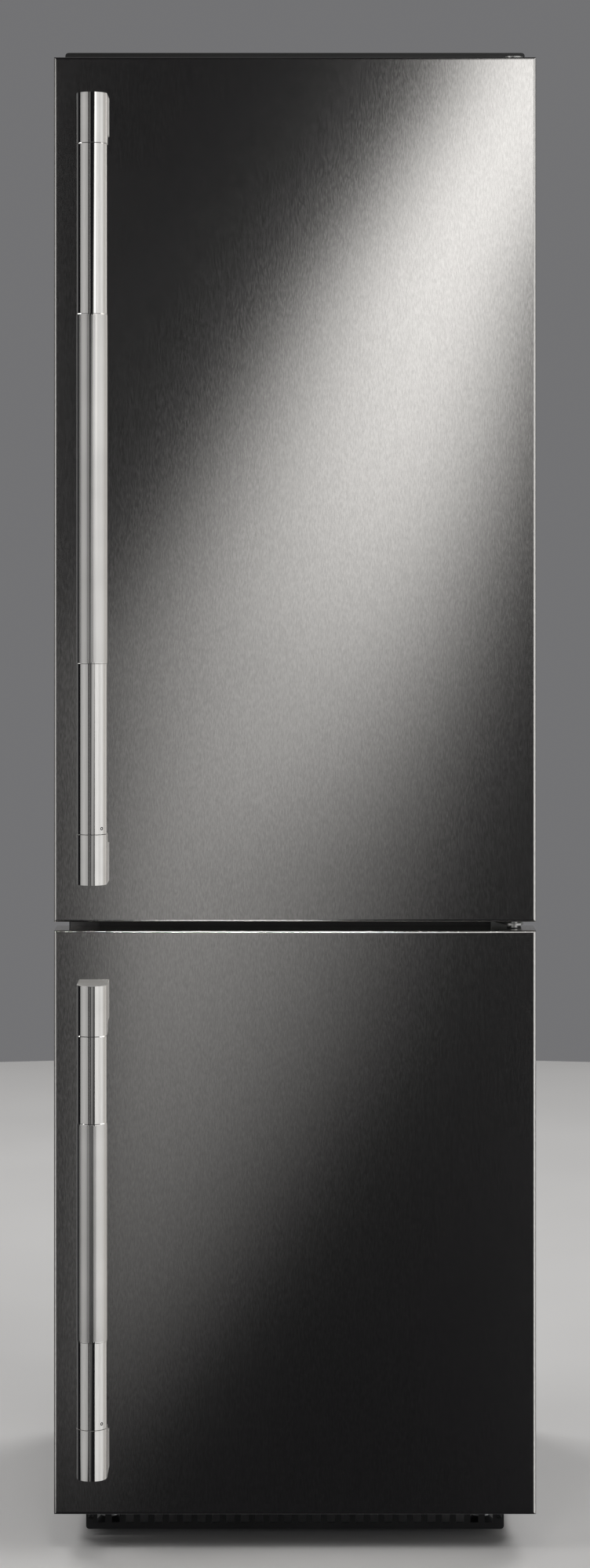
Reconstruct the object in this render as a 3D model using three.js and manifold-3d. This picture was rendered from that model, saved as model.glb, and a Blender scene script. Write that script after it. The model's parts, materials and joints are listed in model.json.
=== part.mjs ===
// Bottom freezer refrigerator, 24 inch class: two stainless doors with bar handles,
// hinged on the right, over a foamed cabinet with a fridge above and a freezer below.
// Millimetres, +Z up, the doors face -Y. The cabinet's front plane is y = 0 while the
// pieces are made, and the last lines move the origin to the middle of the base.
import * as THREE from 'three';
import { mergeVertices } from 'three/addons/utils/BufferGeometryUtils.js';
import Module from 'manifold-3d';

const wasm = await Module();
wasm.setup();

// ---------------------------------------------------------------- driving dimensions
const seat = 0.3; // gap between pieces that touch
const past = 1; // how far a cutter runs past the face that it opens

// doors
const doorWidth = 595;
const fridgeDoorHeight = 1068;
const freezerDoorHeight = 721;
const doorGap = 10.5;
const floorToDoor = 46;
const doorThickness = 61;
const doorStandOff = 14; // door's back to the cabinet's front plane
const doorSheet = 1.2;
const doorEdgeRadius = 3.5;
const doorLinerWall = 3;

// cabinet
const cabinetInset = 14.5; // cabinet's side to the door's edge
const cabinetDepth = 570;
const caseSheet = 1.2;
const caseFlange = 16;
const caseCornerRadius = 5;
const caseBelowDeck = 20;
const linerWall = 2;
const linerCornerRadius = 16;
const fridgeSideWall = 38;
const fridgeTopWall = 38;
const fridgeBackWall = 54;
const freezerSideWall = 43;
const freezerBackWall = 64;
const freezerFloorWall = 40;
const freezerWallOverMachine = 48;
const gasketWidth = 14;
const gasketLip = 5; // gasket's edge to the compartment's opening
const gasketCornerRadius = 4;
const gasketToHinge = 0.5; // gasket's edge to the centre hinge's foot
const railLeg = 10;
const railSheet = 1.5;

// machine compartment behind and below the freezer
const machineDepth = 188;
const machineHeight = 200; // deck to the compartment's roof
const backSheet = 1.2;

// base
const deckTop = 60;
const baseFloorTop = 30;
const baseSheet = 2;
const baseLip = 14; // upturned back edge
const baseSetBack = 4;
const footInset = 48;
const footFromSide = 48;
const footRadius = 17;
const footChamfer = 2;
const footDiscHeight = 14;
const footCollarRadius = 10;
const footStemRadius = 6;
const footBossWall = 5;
const rollerRadius = 17;
const rollerWidth = 22;
const rollerGap = 0.6; // roller's side to its ear
const rollerFromBack = 56;
const rollerFromSide = 38;
const axleRadius = 4;
const earThickness = 3;
const earHalfWidth = 12;
const earNoseRadius = 9;
const grilleThickness = 3;
const grilleCornerRadius = 4;
const grilleBottom = 8;
const grilleBelowDoor = 6;
const grilleFromSide = 21;
const grilleSlotWidth = 10;
const grilleSlotPitch = 18;
const grilleSlotHeight = 16;
const glandRadius = 9;
const glandBore = 4.5;
const glandFromSide = 93;

// hinges, on one axis at the right
const hingeFromEdge = 25.5;
const hingeFromFace = 32;
const hingeLift = 1.5; // plate to the door's end
const hingePlate = 2.5;
const hingePinRadius = 5;
const hingePinReach = 16;
const hingePinChamfer = 1.5;
const hingeNoseRadius = 11;
const hingeFootWidth = 36;
const hingeFootHeight = 21;
const hingeFootRadius = 2;
const bottomFootHeight = 26; // of the bottom hinge
const topHingeReach = 68;
const topHingeWidth = 60;
const topHingeWaist = 23; // how far back the plate keeps its full width
const hingeScrewHole = 2.6;
const hingeScrewInset = 12;

// top cover
const topCoverHeight = 13.5;
const topCoverOverhang = 5;
const topCoverDepth = 110;
const topCoverWall = 2.5;
const topCoverRadius = 4;

// handles
const barRadius = 18.4;
const handleStandOff = 56; // door face to the bar's axis
const handleFromEdge = 50;
const fridgeHandleInset = 52;
const freezerHandleInset = 60;
const postHeight = 61;
const postFootHeight = 47;
const postHollow = 20; // radius of the hollowed inner corner
const knurlRise = 0.5;
const fridgeKnurlLength = 424;
const freezerKnurlLength = 264;
const seamGroove = 0.6;

// fridge fittings
const shelfGlass = 4;
const shelfCornerRadius = 6;
const shelfSideGap = 1.2;
const shelfToBin = 13;
const shelfFromBack = 24;
const shelfCount = 3;
const lowestShelfRise = 187.45; // over the crisper cover
const topShelfDrop = 248.7; // under the ceiling
const shelfLedge = 13;
const ledgeHeight = 7;
const trimHeight = 14;
const trimLip = 9;
const trimWall = 2.5;
const trimRadius = 3;
const crisperHeight = 178;
const crisperToBin = 10;
const crisperFromBack = 56;
const crisperFromSide = 19;
const crisperGap = 6;
const crisperCoverRise = 12;
const crisperGuideRise = 21;
const tubWall = 2.5;
const tubCornerRadius = 10;
const ductHalfWidth = 62;
const ductThickness = 8;
const ductCornerRadius = 14;
const ductRise = 37.45; // over the crisper cover
const ductDrop = 48.7; // under the ceiling
const ventWidth = 32;
const ventHeight = 8;
const ventRise = 40; // over each shelf
const housingHalfWidth = 115;
const housingFront = 140;
const housingDepth = 190;
const housingHeight = 34;
const housingNose = 12;
const housingSlope = 13.6; // lift of its underside at the back
const buttonRadius = 7;
const buttonProud = 3;
const buttonTravel = 3; // bore left behind the button
const buttonLength = 10;
const buttonChamfer = 1.2;
const buttonSide = 60;
const buttonDrop = 10.9; // under the housing's top

// fridge door fittings
const dykeFromSide = 45;
const dykeWidth = 22;
const dykeReach = 45; // past the cabinet's front plane
const dykeDraft = 4;
const dykeEndInset = 30;
const binReach = 105;
const binRim = 5;
const binHeights = { bottom: 112, middle: 86, top: 78 };
const bottomBinRise = 69.75; // over the fridge's floor
const topBinDrop = 218.7; // under the ceiling
const binSpacing = 290; // middle bin under the top one
const lidThickness = 2.5;
const lidBow = 5;
const lidPinRadius = 3;
const lidPinLength = 4;
const lidKnuckleWall = 1;

// freezer fittings
const drawerFront = 56;
const drawerSideGap = 20;
const drawerBackGap = 8;
const drawerRim = 11;
const drawerRimThickness = 3;
const drawerPanel = 4;
const drawerPanelRise = 10;
const drawerPanelRadius = 8;
const drawerLift = 4; // bottom drawer over the floor
const drawerRise = 8; // each upper drawer over its level
const drawerHeadroom = 16; // rim to the level above
const runnerGap = 1.2; // runner to the drawer's side
const pullWidth = 130;
const pullHeight = 22;
const airCoverFromBack = 80;
const airCoverWall = 2.5;
const airSlotCount = 7;
const airSlotPitch = 52;
const airSlotLength = 40;
const airSlotHeight = 6;
const airSlotRise = 26;
const airSlotRowPitch = 16;
const guardBar = 4;
const guardRingRadius = 24;
const fanDrop = 110.25; // fan's axis under the ceiling
const fanRadius = 47;
const fanTipGap = 3;
const fanHubRadius = 13;
const fanDepth = 14;
const fanBlades = 5;
const fanBladeThickness = 1.6;
const fanBladeSlant = Math.PI / 6;
const fanShaftRadius = 2.5;
const fanToMotor = 4;
const motorRadius = 22;
const motorDepth = 34;
const motorFlangeHalf = 35;
const motorFlangeRadius = 6;
const evaporatorFromSide = 50;
const evaporatorDepth = 50;
const evaporatorPlate = 10;
const evaporatorRise = 32; // over the step
const evaporatorToFan = 65;
const evaporatorFins = 14;
const evaporatorFin = 2;
const doorPanelInset = 14;
const doorPanelRadius = 12;
const doorPanelSetBack = 2; // panel's face behind the cabinet's front plane

// cooling machine
const compressorRadius = 62;
const compressorHeight = 140;
const compressorSeam = 4; // weld bead round the middle
const compressorFromSide = 188;
const compressorPlate = 3;
const compressorPlateMargin = 31;
const compressorPlateRadius = 12;
const compressorFootHeight = 8;
const compressorFootRadius = 9;
const compressorFootInset = 14;
const terminalHalfWidth = 26;
const terminalProud = 24;
const terminalRise = 21;
const terminalHeight = 49;
const terminalRadius = 5;
const portRadius = 4;
const portLength = 18;
const portSpacing = 22;
const trayWall = 2;
const trayHeight = 30;
const condenserTubeRadius = 2.6;
const condenserWireRadius = 1;
const condenserStandOff = 20;
const condenserFromSide = 58;
const condenserRise = 70; // over the machine compartment's roof
const condenserRuns = 18;
const condenserPitch = 66;
const condenserWires = 5;
const strapWidth = 12;
const strapThickness = 1.6;
const strapInset = 32;

// ---------------------------------------------------------------- places worked out from them
const freezerDoorTop = floorToDoor + freezerDoorHeight;
const fridgeDoorBottom = freezerDoorTop + doorGap;
const doorTop = fridgeDoorBottom + fridgeDoorHeight;
const doorBack = -doorStandOff;
const doorFace = doorBack - doorThickness;
const caseTop = doorTop + hingeLift - seat;
const dividerHeight = hingeFootHeight + (gasketLip + gasketWidth + gasketToHinge) * 2;
const caseHalf = doorWidth / 2 - cabinetInset;
const caseBottom = deckTop - caseBelowDeck;
const innerHalf = caseHalf - caseSheet - seat;
const liningHalf = caseHalf - caseFlange - seat;
const dividerMiddle = freezerDoorTop + doorGap / 2;
const fridgeFloor = dividerMiddle + dividerHeight / 2;
const fridgeCeiling = caseTop - fridgeTopWall;
const fridgeHalf = caseHalf - fridgeSideWall;
const fridgeBack = cabinetDepth - fridgeBackWall;
const freezerFloor = deckTop + freezerFloorWall;
const freezerCeiling = dividerMiddle - dividerHeight / 2;
const freezerHalf = caseHalf - freezerSideWall;
const freezerBack = cabinetDepth - freezerBackWall;
const machineTop = deckTop + machineHeight;
const machineFront = cabinetDepth - machineDepth;
const machineMiddle = machineFront + machineDepth / 2;
const stepFront = machineFront - freezerWallOverMachine;
const stepTop = machineTop + freezerWallOverMachine;
const railHalfHeight = hingeFootHeight / 2;
const railLow = dividerMiddle - railHalfHeight;
const railHigh = dividerMiddle + railHalfHeight;

const hingeX = doorWidth / 2 - hingeFromEdge;
const hingeY = doorFace + hingeFromFace;
const topPlateLow = caseTop + seat;
const centreTongue = dividerMiddle - hingePlate / 2;
const bottomTongue = floorToDoor - hingeLift - hingePlate;

const footX = caseHalf - footFromSide;
const rollerX = caseHalf - rollerFromSide;
const rollerY = cabinetDepth - rollerFromBack;

const crisperFront = binReach + crisperToBin;
const crisperBack = fridgeBack - crisperFromBack;
const crisperTop = fridgeFloor + seat + crisperHeight;
const crisperCover = crisperTop + crisperCoverRise;
const shelfFront = binReach + shelfToBin;
const shelfBack = fridgeBack - shelfFromBack;
const lowestShelf = crisperCover + lowestShelfRise;
const topShelf = fridgeCeiling - topShelfDrop;
const shelfPitch = (topShelf - lowestShelf) / (shelfCount - 1);
const shelfHeights = Array.from({ length: shelfCount }, (_, index) => lowestShelf + index * shelfPitch);
const buttonZ = fridgeCeiling - seat - buttonDrop;

const dykeInner = fridgeHalf - dykeFromSide;
const dykeOuter = dykeInner + dykeWidth;
const topBinFloor = fridgeCeiling - topBinDrop;
const bins = {
  bottom: { floor: fridgeFloor + bottomBinRise, height: binHeights.bottom },
  middle: { floor: topBinFloor - binSpacing, height: binHeights.middle },
  top: { floor: topBinFloor, height: binHeights.top },
};
const lidPinY = doorBack + lidPinRadius * 3;
const lidPinZ = bins.top.floor + bins.top.height + lidPinRadius + lidKnuckleWall;

const airCoverFront = freezerBack - airCoverFromBack;
const upperPitch = (freezerCeiling - stepTop) / 2;
const drawerHalf = freezerHalf - drawerSideGap;
const drawers = {
  bottom: {
    floor: freezerFloor + drawerLift,
    top: stepTop - drawerHeadroom,
    back: stepFront - drawerBackGap,
  },
  middle: {
    floor: stepTop + drawerRise,
    top: stepTop + upperPitch - drawerHeadroom,
    back: airCoverFront - drawerBackGap,
  },
  top: {
    floor: stepTop + upperPitch + drawerRise,
    top: freezerCeiling - drawerHeadroom,
    back: airCoverFront - drawerBackGap,
  },
};
const fanZ = freezerCeiling - fanDrop;
const motorFront = freezerBack - seat - motorDepth;
const fanBack = motorFront - fanToMotor;
const fanFront = fanBack - fanDepth;
const evaporatorHalf = freezerHalf - evaporatorFromSide;
const evaporatorLow = stepTop + evaporatorRise;
const evaporatorHigh = fanZ - fanRadius - evaporatorToFan;

const compressorX = compressorFromSide - caseHalf;
const compressorHalfLength = compressorRadius + compressorPlateMargin;
const compressorFloor = baseFloorTop + seat;
const compressorPlateLow = compressorFloor + compressorFootHeight;
const potLow = compressorPlateLow + compressorPlate / 2;
const trayLow = potLow + compressorHeight + seat;

const coilY = cabinetDepth + condenserStandOff;
const coilBend = condenserPitch / 2;
const coilReach = caseHalf - condenserFromSide - coilBend;
const coilBottom = machineTop + condenserRise;
const coilLow = coilBottom - strapWidth;
const coilHigh = coilBottom + (condenserRuns - 1) * condenserPitch + strapWidth;
const strapX = coilReach - strapInset;

const handleX = handleFromEdge - doorWidth / 2;
const handleY = doorFace - handleStandOff;

// ---------------------------------------------------------------- solids
const axes = {
  x: new THREE.Matrix4().makeBasis(
    new THREE.Vector3(0, 1, 0),
    new THREE.Vector3(0, 0, 1),
    new THREE.Vector3(1, 0, 0),
  ),
  y: new THREE.Matrix4().makeRotationX(Math.PI / 2),
  z: new THREE.Matrix4(),
};

function toSolid(geometry) {
  const bare = geometry.clone();
  bare.deleteAttribute('normal');
  bare.deleteAttribute('uv');
  const merged = mergeVertices(bare, 1e-4);
  return new wasm.Manifold(new wasm.Mesh({
    numProp: 3,
    vertProperties: new Float32Array(merged.attributes.position.array),
    triVerts: new Uint32Array(merged.index.array),
  }));
}

function toGeometry(solid) {
  const mesh = solid.getMesh();
  const geometry = new THREE.BufferGeometry();
  geometry.setAttribute('position', new THREE.BufferAttribute(mesh.vertProperties, 3));
  geometry.setIndex(new THREE.BufferAttribute(mesh.triVerts, 1));
  geometry.computeVertexNormals();
  return geometry;
}

// A shape drawn in (y, z), (x, z) or (x, y) and pulled along x, y or z from low to high.
function pull(shape, axis, low, high, curveSegments = 2) {
  const geometry = new THREE.ExtrudeGeometry(shape, {
    depth: high - low,
    bevelEnabled: false,
    curveSegments,
  });
  geometry.applyMatrix4(axes[axis]);
  if (axis === 'x') geometry.translate(low, 0, 0);
  if (axis === 'y') geometry.translate(0, high, 0);
  if (axis === 'z') geometry.translate(0, 0, low);
  return toSolid(geometry);
}

function block(lowX, highX, lowY, highY, lowZ, highZ) {
  const geometry = new THREE.BoxGeometry(highX - lowX, highY - lowY, highZ - lowZ);
  geometry.translate((lowX + highX) / 2, (lowY + highY) / 2, (lowZ + highZ) / 2);
  return toSolid(geometry);
}

// A block on one side of the middle, given by its distances from it.
function sideBlock(side, inner, outer, lowY, highY, lowZ, highZ) {
  if (side < 0) return block(-outer, -inner, lowY, highY, lowZ, highZ);
  return block(inner, outer, lowY, highY, lowZ, highZ);
}

function outline(points) {
  return new THREE.Shape(points.map(([across, up]) => new THREE.Vector2(across, up)));
}

function roundedRectangle(lowA, highA, lowB, highB, radius) {
  const shape = new THREE.Shape();
  shape.moveTo(lowA + radius, lowB);
  shape.lineTo(highA - radius, lowB);
  shape.absarc(highA - radius, lowB + radius, radius, -Math.PI / 2, 0, false);
  shape.lineTo(highA, highB - radius);
  shape.absarc(highA - radius, highB - radius, radius, 0, Math.PI / 2, false);
  shape.lineTo(lowA + radius, highB);
  shape.absarc(lowA + radius, highB - radius, radius, Math.PI / 2, Math.PI, false);
  shape.lineTo(lowA, lowB + radius);
  shape.absarc(lowA + radius, lowB + radius, radius, Math.PI, Math.PI * 1.5, false);
  return shape;
}

function circle(centreA, centreB, radius) {
  const shape = new THREE.Shape();
  shape.absarc(centreA, centreB, radius, 0, Math.PI * 2, false);
  return shape;
}

// A round rod along an axis; centreA and centreB are its place in the shape's own plane.
function rod(axis, centreA, centreB, radius, low, high, halfSides = 8) {
  return pull(circle(centreA, centreB, radius), axis, low, high, halfSides);
}

// A turned piece about a vertical axis; profile is a list of [radius, height].
function turned(profile, segments, x, y) {
  const points = profile.map(([radius, height]) => new THREE.Vector2(radius, height));
  const geometry = new THREE.LatheGeometry(points, segments);
  geometry.rotateX(Math.PI / 2);
  geometry.translate(x, y, 0);
  return toSolid(geometry);
}

function joinAll(solids) {
  return solids.reduce((whole, piece) => whole.add(piece));
}

function cutAll(solid, cutters) {
  return cutters.reduce((whole, cutter) => whole.subtract(cutter), solid);
}

// ---------------------------------------------------------------- finishes
function finish(color, roughness, metalness, opacity = 1) {
  return new THREE.MeshStandardMaterial({
    color,
    roughness,
    metalness,
    opacity,
    transparent: opacity < 1,
  });
}

const finishes = {
  stainless: finish(0xb9b6b2, 0.3, 1),
  handleSteel: finish(0xc9c6c0, 0.25, 1),
  paintedCase: finish(0x2b2b2c, 0.5, 0.3),
  zincSteel: finish(0x9a9c9e, 0.45, 0.9),
  foam: finish(0xe6d9b0, 0.9, 0),
  liner: finish(0xf1f2f2, 0.35, 0),
  gasket: finish(0x4a4b4d, 0.75, 0),
  trim: finish(0x2f3032, 0.45, 0.1),
  glass: finish(0xd8ecea, 0.05, 0, 0.35),
  clear: finish(0xe4f0f4, 0.12, 0, 0.5),
  blackPaint: finish(0x141414, 0.45, 0.4),
  blackPlastic: finish(0x1b1b1c, 0.55, 0),
  aluminium: finish(0xc4c7ca, 0.35, 1),
  fanPlastic: finish(0xdfe2e4, 0.4, 0),
};

const refrigerator = new THREE.Group();

function add(name, solid, material) {
  const mesh = new THREE.Mesh(toGeometry(solid), material);
  mesh.name = name;
  refrigerator.add(mesh);
}

// ---------------------------------------------------------------- cabinet shell
// Folded steel wrapper: two sides and the top, with a flange turned in at the front.
function outerCase() {
  const below = caseBottom - caseCornerRadius;
  const wrap = pull(
    roundedRectangle(-caseHalf, caseHalf, below, caseTop, caseCornerRadius),
    'y', 0, cabinetDepth,
  );
  const inside = block(
    -caseHalf + caseSheet, caseHalf - caseSheet,
    caseSheet, cabinetDepth + past,
    below - past, caseTop - caseSheet,
  );
  const mouth = block(
    -caseHalf + caseFlange, caseHalf - caseFlange,
    -past, caseSheet + past,
    below - past, caseTop - caseFlange,
  );
  const foot = block(
    -caseHalf - past, caseHalf + past,
    -past, cabinetDepth + past,
    below - past, caseBottom,
  );
  return cutAll(wrap, [inside, mouth, foot]);
}

// Bent sheet: the flat back, the roof of the machine compartment and its front wall.
function backPanel() {
  const profile = outline([
    [cabinetDepth, caseTop - caseSheet - seat],
    [cabinetDepth - backSheet, caseTop - caseSheet - seat],
    [cabinetDepth - backSheet, machineTop + backSheet],
    [machineFront - backSheet, machineTop + backSheet],
    [machineFront - backSheet, deckTop + seat],
    [machineFront, deckTop + seat],
    [machineFront, machineTop],
    [cabinetDepth, machineTop],
  ]);
  return pull(profile, 'x', -innerHalf, innerHalf);
}

function fridgeCavity(grow, front) {
  const shape = roundedRectangle(
    -fridgeHalf - grow, fridgeHalf + grow,
    fridgeFloor - grow, fridgeCeiling + grow,
    linerCornerRadius + grow,
  );
  return pull(shape, 'y', front, fridgeBack + grow, 3);
}

// The freezer's side view, with the step over the machine compartment.
function freezerCavity(grow, front) {
  const profile = outline([
    [front, freezerFloor - grow],
    [stepFront + grow, freezerFloor - grow],
    [stepFront + grow, stepTop - grow],
    [freezerBack + grow, stepTop - grow],
    [freezerBack + grow, freezerCeiling + grow],
    [front, freezerCeiling + grow],
  ]);
  return pull(profile, 'x', -freezerHalf - grow, freezerHalf + grow);
}

// Foam between the case, the back and the two liners.
function insulationFoam() {
  const front = linerWall + seat;
  const skin = backSheet + seat;
  const profile = outline([
    [front, deckTop + seat],
    [machineFront - skin, deckTop + seat],
    [machineFront - skin, machineTop + skin],
    [cabinetDepth - skin, machineTop + skin],
    [cabinetDepth - skin, caseTop - caseSheet - seat],
    [front, caseTop - caseSheet - seat],
  ]);
  const rail = block(-innerHalf - past, innerHalf + past, 0, railLeg + seat, railLow, railHigh);
  return cutAll(pull(profile, 'x', -innerHalf, innerHalf), [
    fridgeCavity(linerWall + seat, 0),
    freezerCavity(linerWall + seat, 0),
    rail,
  ]);
}

// Front flange of a liner, which fills the frame between its mouth and the case.
function linerFlange(low, high) {
  return block(-liningHalf, liningHalf, 0, linerWall, low, high);
}

// Moulded ledges on both side walls, with a sloped underside.
function ledgePair(half, reach, top, front, back) {
  const root = half + linerWall / 2;
  const edge = top - ledgeHeight / 3;
  const right = outline([
    [root, top],
    [half - reach, top],
    [half - reach, edge],
    [root, top - ledgeHeight],
  ]);
  const left = outline([
    [-root, top - ledgeHeight],
    [-half + reach, edge],
    [-half + reach, top],
    [-root, top],
  ]);
  return pull(right, 'y', front, back).add(pull(left, 'y', front, back));
}

function fridgeLiner() {
  const shell = fridgeCavity(linerWall, 0)
    .add(linerFlange(railHigh + seat, caseTop - caseFlange - seat))
    .subtract(fridgeCavity(0, -past));
  const ledges = [...shelfHeights, crisperCover].map((height) => (
    ledgePair(fridgeHalf, shelfLedge, height - seat, shelfFront + trimWall + seat, shelfBack + seat)
  ));
  const guides = ledgePair(
    fridgeHalf, crisperFromSide - seat, fridgeFloor + crisperGuideRise,
    crisperFront, crisperBack,
  );
  return joinAll([shell, ...ledges, guides]);
}

function freezerLiner() {
  const shell = freezerCavity(linerWall, 0)
    .add(linerFlange(deckTop + seat, railLow - seat))
    .subtract(freezerCavity(0, -past));
  const runners = Object.values(drawers).map(({ top, back }) => ledgePair(
    freezerHalf, drawerSideGap + drawerRim - runnerGap, top - drawerRimThickness - seat,
    drawerFront + drawerPanel * 2, back,
  ));
  return joinAll([shell, ...runners]);
}

// Cross rail between the two mouths, a channel open to the back.
function centreRail() {
  const low = railLow + seat;
  const high = railHigh - seat;
  const shape = outline([
    [0, low],
    [railLeg, low],
    [railLeg, low + railSheet],
    [railSheet, low + railSheet],
    [railSheet, high - railSheet],
    [railLeg, high - railSheet],
    [railLeg, high],
    [0, high],
  ]);
  return pull(shape, 'x', -liningHalf, liningHalf);
}

// Plate on the rail's left end, the mirror of the centre hinge's foot.
function railBlank() {
  const outer = caseHalf - railSheet;
  const shape = roundedRectangle(
    -outer, hingeFootWidth - outer,
    railLow, railHigh,
    hingeFootRadius,
  );
  return pull(shape, 'y', -seat - hingePlate, -seat);
}

// ---------------------------------------------------------------- hinges
// A foot on the cabinet's front and a tongue that comes forward to the pin.
function hingeBracket(low, footHeight, tongueLow) {
  const outer = caseHalf - railSheet;
  const inner = outer - hingeFootWidth;
  const footFront = -seat - hingePlate;
  const tongueHigh = tongueLow + hingePlate;
  const foot = pull(
    roundedRectangle(inner, outer, low, low + footHeight, hingeFootRadius),
    'y', footFront, -seat,
  );
  const tongue = new THREE.Shape();
  tongue.moveTo(inner, footFront + hingePlate / 2);
  tongue.lineTo(hingeX - hingeNoseRadius, hingeY);
  tongue.absarc(hingeX, hingeY, hingeNoseRadius, Math.PI, Math.PI * 2, false);
  tongue.lineTo(outer, footFront + hingePlate / 2);
  const bore = rod('z', hingeX, hingeY, hingePinRadius + seat, tongueLow - past, tongueHigh + past);
  return foot.add(pull(tongue, 'z', tongueLow, tongueHigh, 6)).subtract(bore);
}

// Flat plate on the case's top that reaches over the fridge door.
function topHingePlate() {
  const outer = caseHalf - seat;
  const inner = outer - topHingeWidth;
  const plate = new THREE.Shape();
  plate.moveTo(outer, topHingeReach);
  plate.lineTo(inner, topHingeReach);
  plate.lineTo(inner, topHingeWaist);
  plate.lineTo(hingeX - hingeNoseRadius, hingeY);
  plate.absarc(hingeX, hingeY, hingeNoseRadius, Math.PI, Math.PI * 2, false);
  const screws = [
    [outer - hingeScrewInset, topHingeReach - hingeScrewInset],
    [inner + hingeScrewInset, topHingeReach - hingeScrewInset],
    [(inner + outer) / 2, topHingeWaist],
  ];
  screws.forEach(([x, y]) => plate.holes.push(circle(x, y, hingeScrewHole)));
  plate.holes.push(circle(hingeX, hingeY, hingePinRadius + seat));
  return pull(plate, 'z', topPlateLow, topPlateLow + hingePlate, 6);
}

// A hinge pin with a chamfer at each end that enters a door.
function hingePin(low, high, chamferLow, chamferHigh) {
  const lowRadius = hingePinRadius - (chamferLow ? hingePinChamfer : 0);
  const highRadius = hingePinRadius - (chamferHigh ? hingePinChamfer : 0);
  return turned([
    [0, low],
    [lowRadius, low],
    [hingePinRadius, low + hingePinChamfer],
    [hingePinRadius, high - hingePinChamfer],
    [highRadius, high],
    [0, high],
  ], 14, hingeX, hingeY);
}

// ---------------------------------------------------------------- top cover
function topCover() {
  const half = caseHalf + topCoverOverhang;
  const low = topPlateLow;
  const high = low + topCoverHeight;
  const shell = pull(
    roundedRectangle(-half, half, low - topCoverRadius, high, topCoverRadius),
    'y', 0, topCoverDepth,
  );
  const below = block(
    -half - past, half + past,
    -past, topCoverDepth + past,
    low - topCoverRadius - past, low,
  );
  const hollow = block(
    -half + topCoverWall, half - topCoverWall,
    topCoverWall, topCoverDepth - topCoverWall,
    low - past, high - topCoverWall,
  );
  const hingeSlot = block(
    caseHalf - topHingeWidth - hingeNoseRadius, Math.max(caseHalf, hingeX + hingeNoseRadius) + seat,
    -past, topCoverWall + past,
    low - past, low + hingePlate + seat,
  );
  return cutAll(shell, [below, hollow, hingeSlot]);
}

// ---------------------------------------------------------------- base
// One bent sheet: front apron, deck, riser, floor of the machine compartment, back lip.
function panSheet() {
  const front = baseSetBack;
  const back = cabinetDepth - baseSetBack;
  const riser = machineFront + baseSheet * 2;
  const under = baseFloorTop - baseSheet;
  const fold = outline([
    [front, under],
    [front + baseSheet, under],
    [front + baseSheet, deckTop - baseSheet],
    [riser - baseSheet, deckTop - baseSheet],
    [riser - baseSheet, under],
    [back, under],
    [back, baseFloorTop + baseLip],
    [back - baseSheet, baseFloorTop + baseLip],
    [back - baseSheet, baseFloorTop],
    [riser, baseFloorTop],
    [riser, deckTop],
    [front, deckTop],
  ]);
  const skirts = [-1, 1].map((side) => (
    sideBlock(side, innerHalf - baseSheet, innerHalf, front, back, under, deckTop)
  ));
  return joinAll([pull(fold, 'x', -innerHalf, innerHalf), ...skirts]);
}

// A hanging ear with a round end at the roller's axle.
function rollerEar(x) {
  const root = baseFloorTop - baseSheet / 2;
  const ear = new THREE.Shape();
  ear.moveTo(rollerY + earHalfWidth, root);
  ear.lineTo(rollerY - earHalfWidth, root);
  ear.absarc(rollerY, rollerRadius, earNoseRadius, Math.PI, Math.PI * 2, false);
  return pull(ear, 'x', x, x + earThickness, 5);
}

// Two ears and the axle between them, for the roller at x.
function rollerMount(x) {
  const half = rollerWidth / 2 + rollerGap;
  return joinAll([
    rollerEar(x - half - earThickness),
    rollerEar(x + half),
    rod('x', rollerY, rollerRadius, axleRadius, x - half - past, x + half + past, 5),
  ]);
}

function basePan() {
  const bossRadius = footStemRadius + footBossWall;
  const bosses = [-footX, footX].map((x) => (
    rod('z', x, footInset, bossRadius, footDiscHeight + seat, deckTop - baseSheet / 2, 6)
  ));
  const bores = [-footX, footX].map((x) => (
    rod('z', x, footInset, footStemRadius + seat, footDiscHeight - past, deckTop + past, 6)
  ));
  const slotHalf = rollerWidth / 2 + rollerGap;
  const slots = [-rollerX, rollerX].map((x) => block(
    x - slotHalf, x + slotHalf,
    rollerY - rollerRadius - past, rollerY + rollerRadius + past,
    baseFloorTop - baseSheet - past, baseFloorTop + past,
  ));
  const glandX = caseHalf - glandFromSide;
  const glandZ = baseFloorTop + glandRadius;
  const back = cabinetDepth - baseSetBack;
  const gland = rod('y', glandX, glandZ, glandRadius, back - baseSheet, back + baseSheet, 6);
  const glandHole = rod(
    'y', glandX, glandZ, glandBore,
    back - baseSheet - past, back + baseSheet + past, 5,
  );
  const pan = cutAll(joinAll([panSheet(), ...bosses]), slots);
  const mounts = [-rollerX, rollerX].map(rollerMount);
  return cutAll(joinAll([pan, ...mounts, gland]), [...bores, glandHole]);
}

function toeGrille() {
  const half = caseHalf - grilleFromSide;
  const high = floorToDoor - grilleBelowDoor;
  const back = baseSetBack - seat;
  const plate = pull(
    roundedRectangle(-half, half, grilleBottom, high, grilleCornerRadius),
    'y', back - grilleThickness, back,
  );
  const count = Math.floor((half * 2 - grilleSlotPitch) / grilleSlotPitch);
  const middle = (grilleBottom + high) / 2;
  const slots = Array.from({ length: count }, (_, index) => {
    const x = (index - (count - 1) / 2) * grilleSlotPitch;
    return block(
      x - grilleSlotWidth / 2, x + grilleSlotWidth / 2,
      back - grilleThickness - past, back + past,
      middle - grilleSlotHeight / 2, middle + grilleSlotHeight / 2,
    );
  });
  return cutAll(plate, slots);
}

function foot(x) {
  const stemTop = deckTop - baseSheet * 2;
  return turned([
    [0, 0],
    [footRadius - footChamfer, 0],
    [footRadius, footChamfer],
    [footRadius, footDiscHeight / 2],
    [footCollarRadius, footDiscHeight],
    [footStemRadius, footDiscHeight],
    [footStemRadius, stemTop],
    [0, stemTop],
  ], 14, x, footInset);
}

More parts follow.
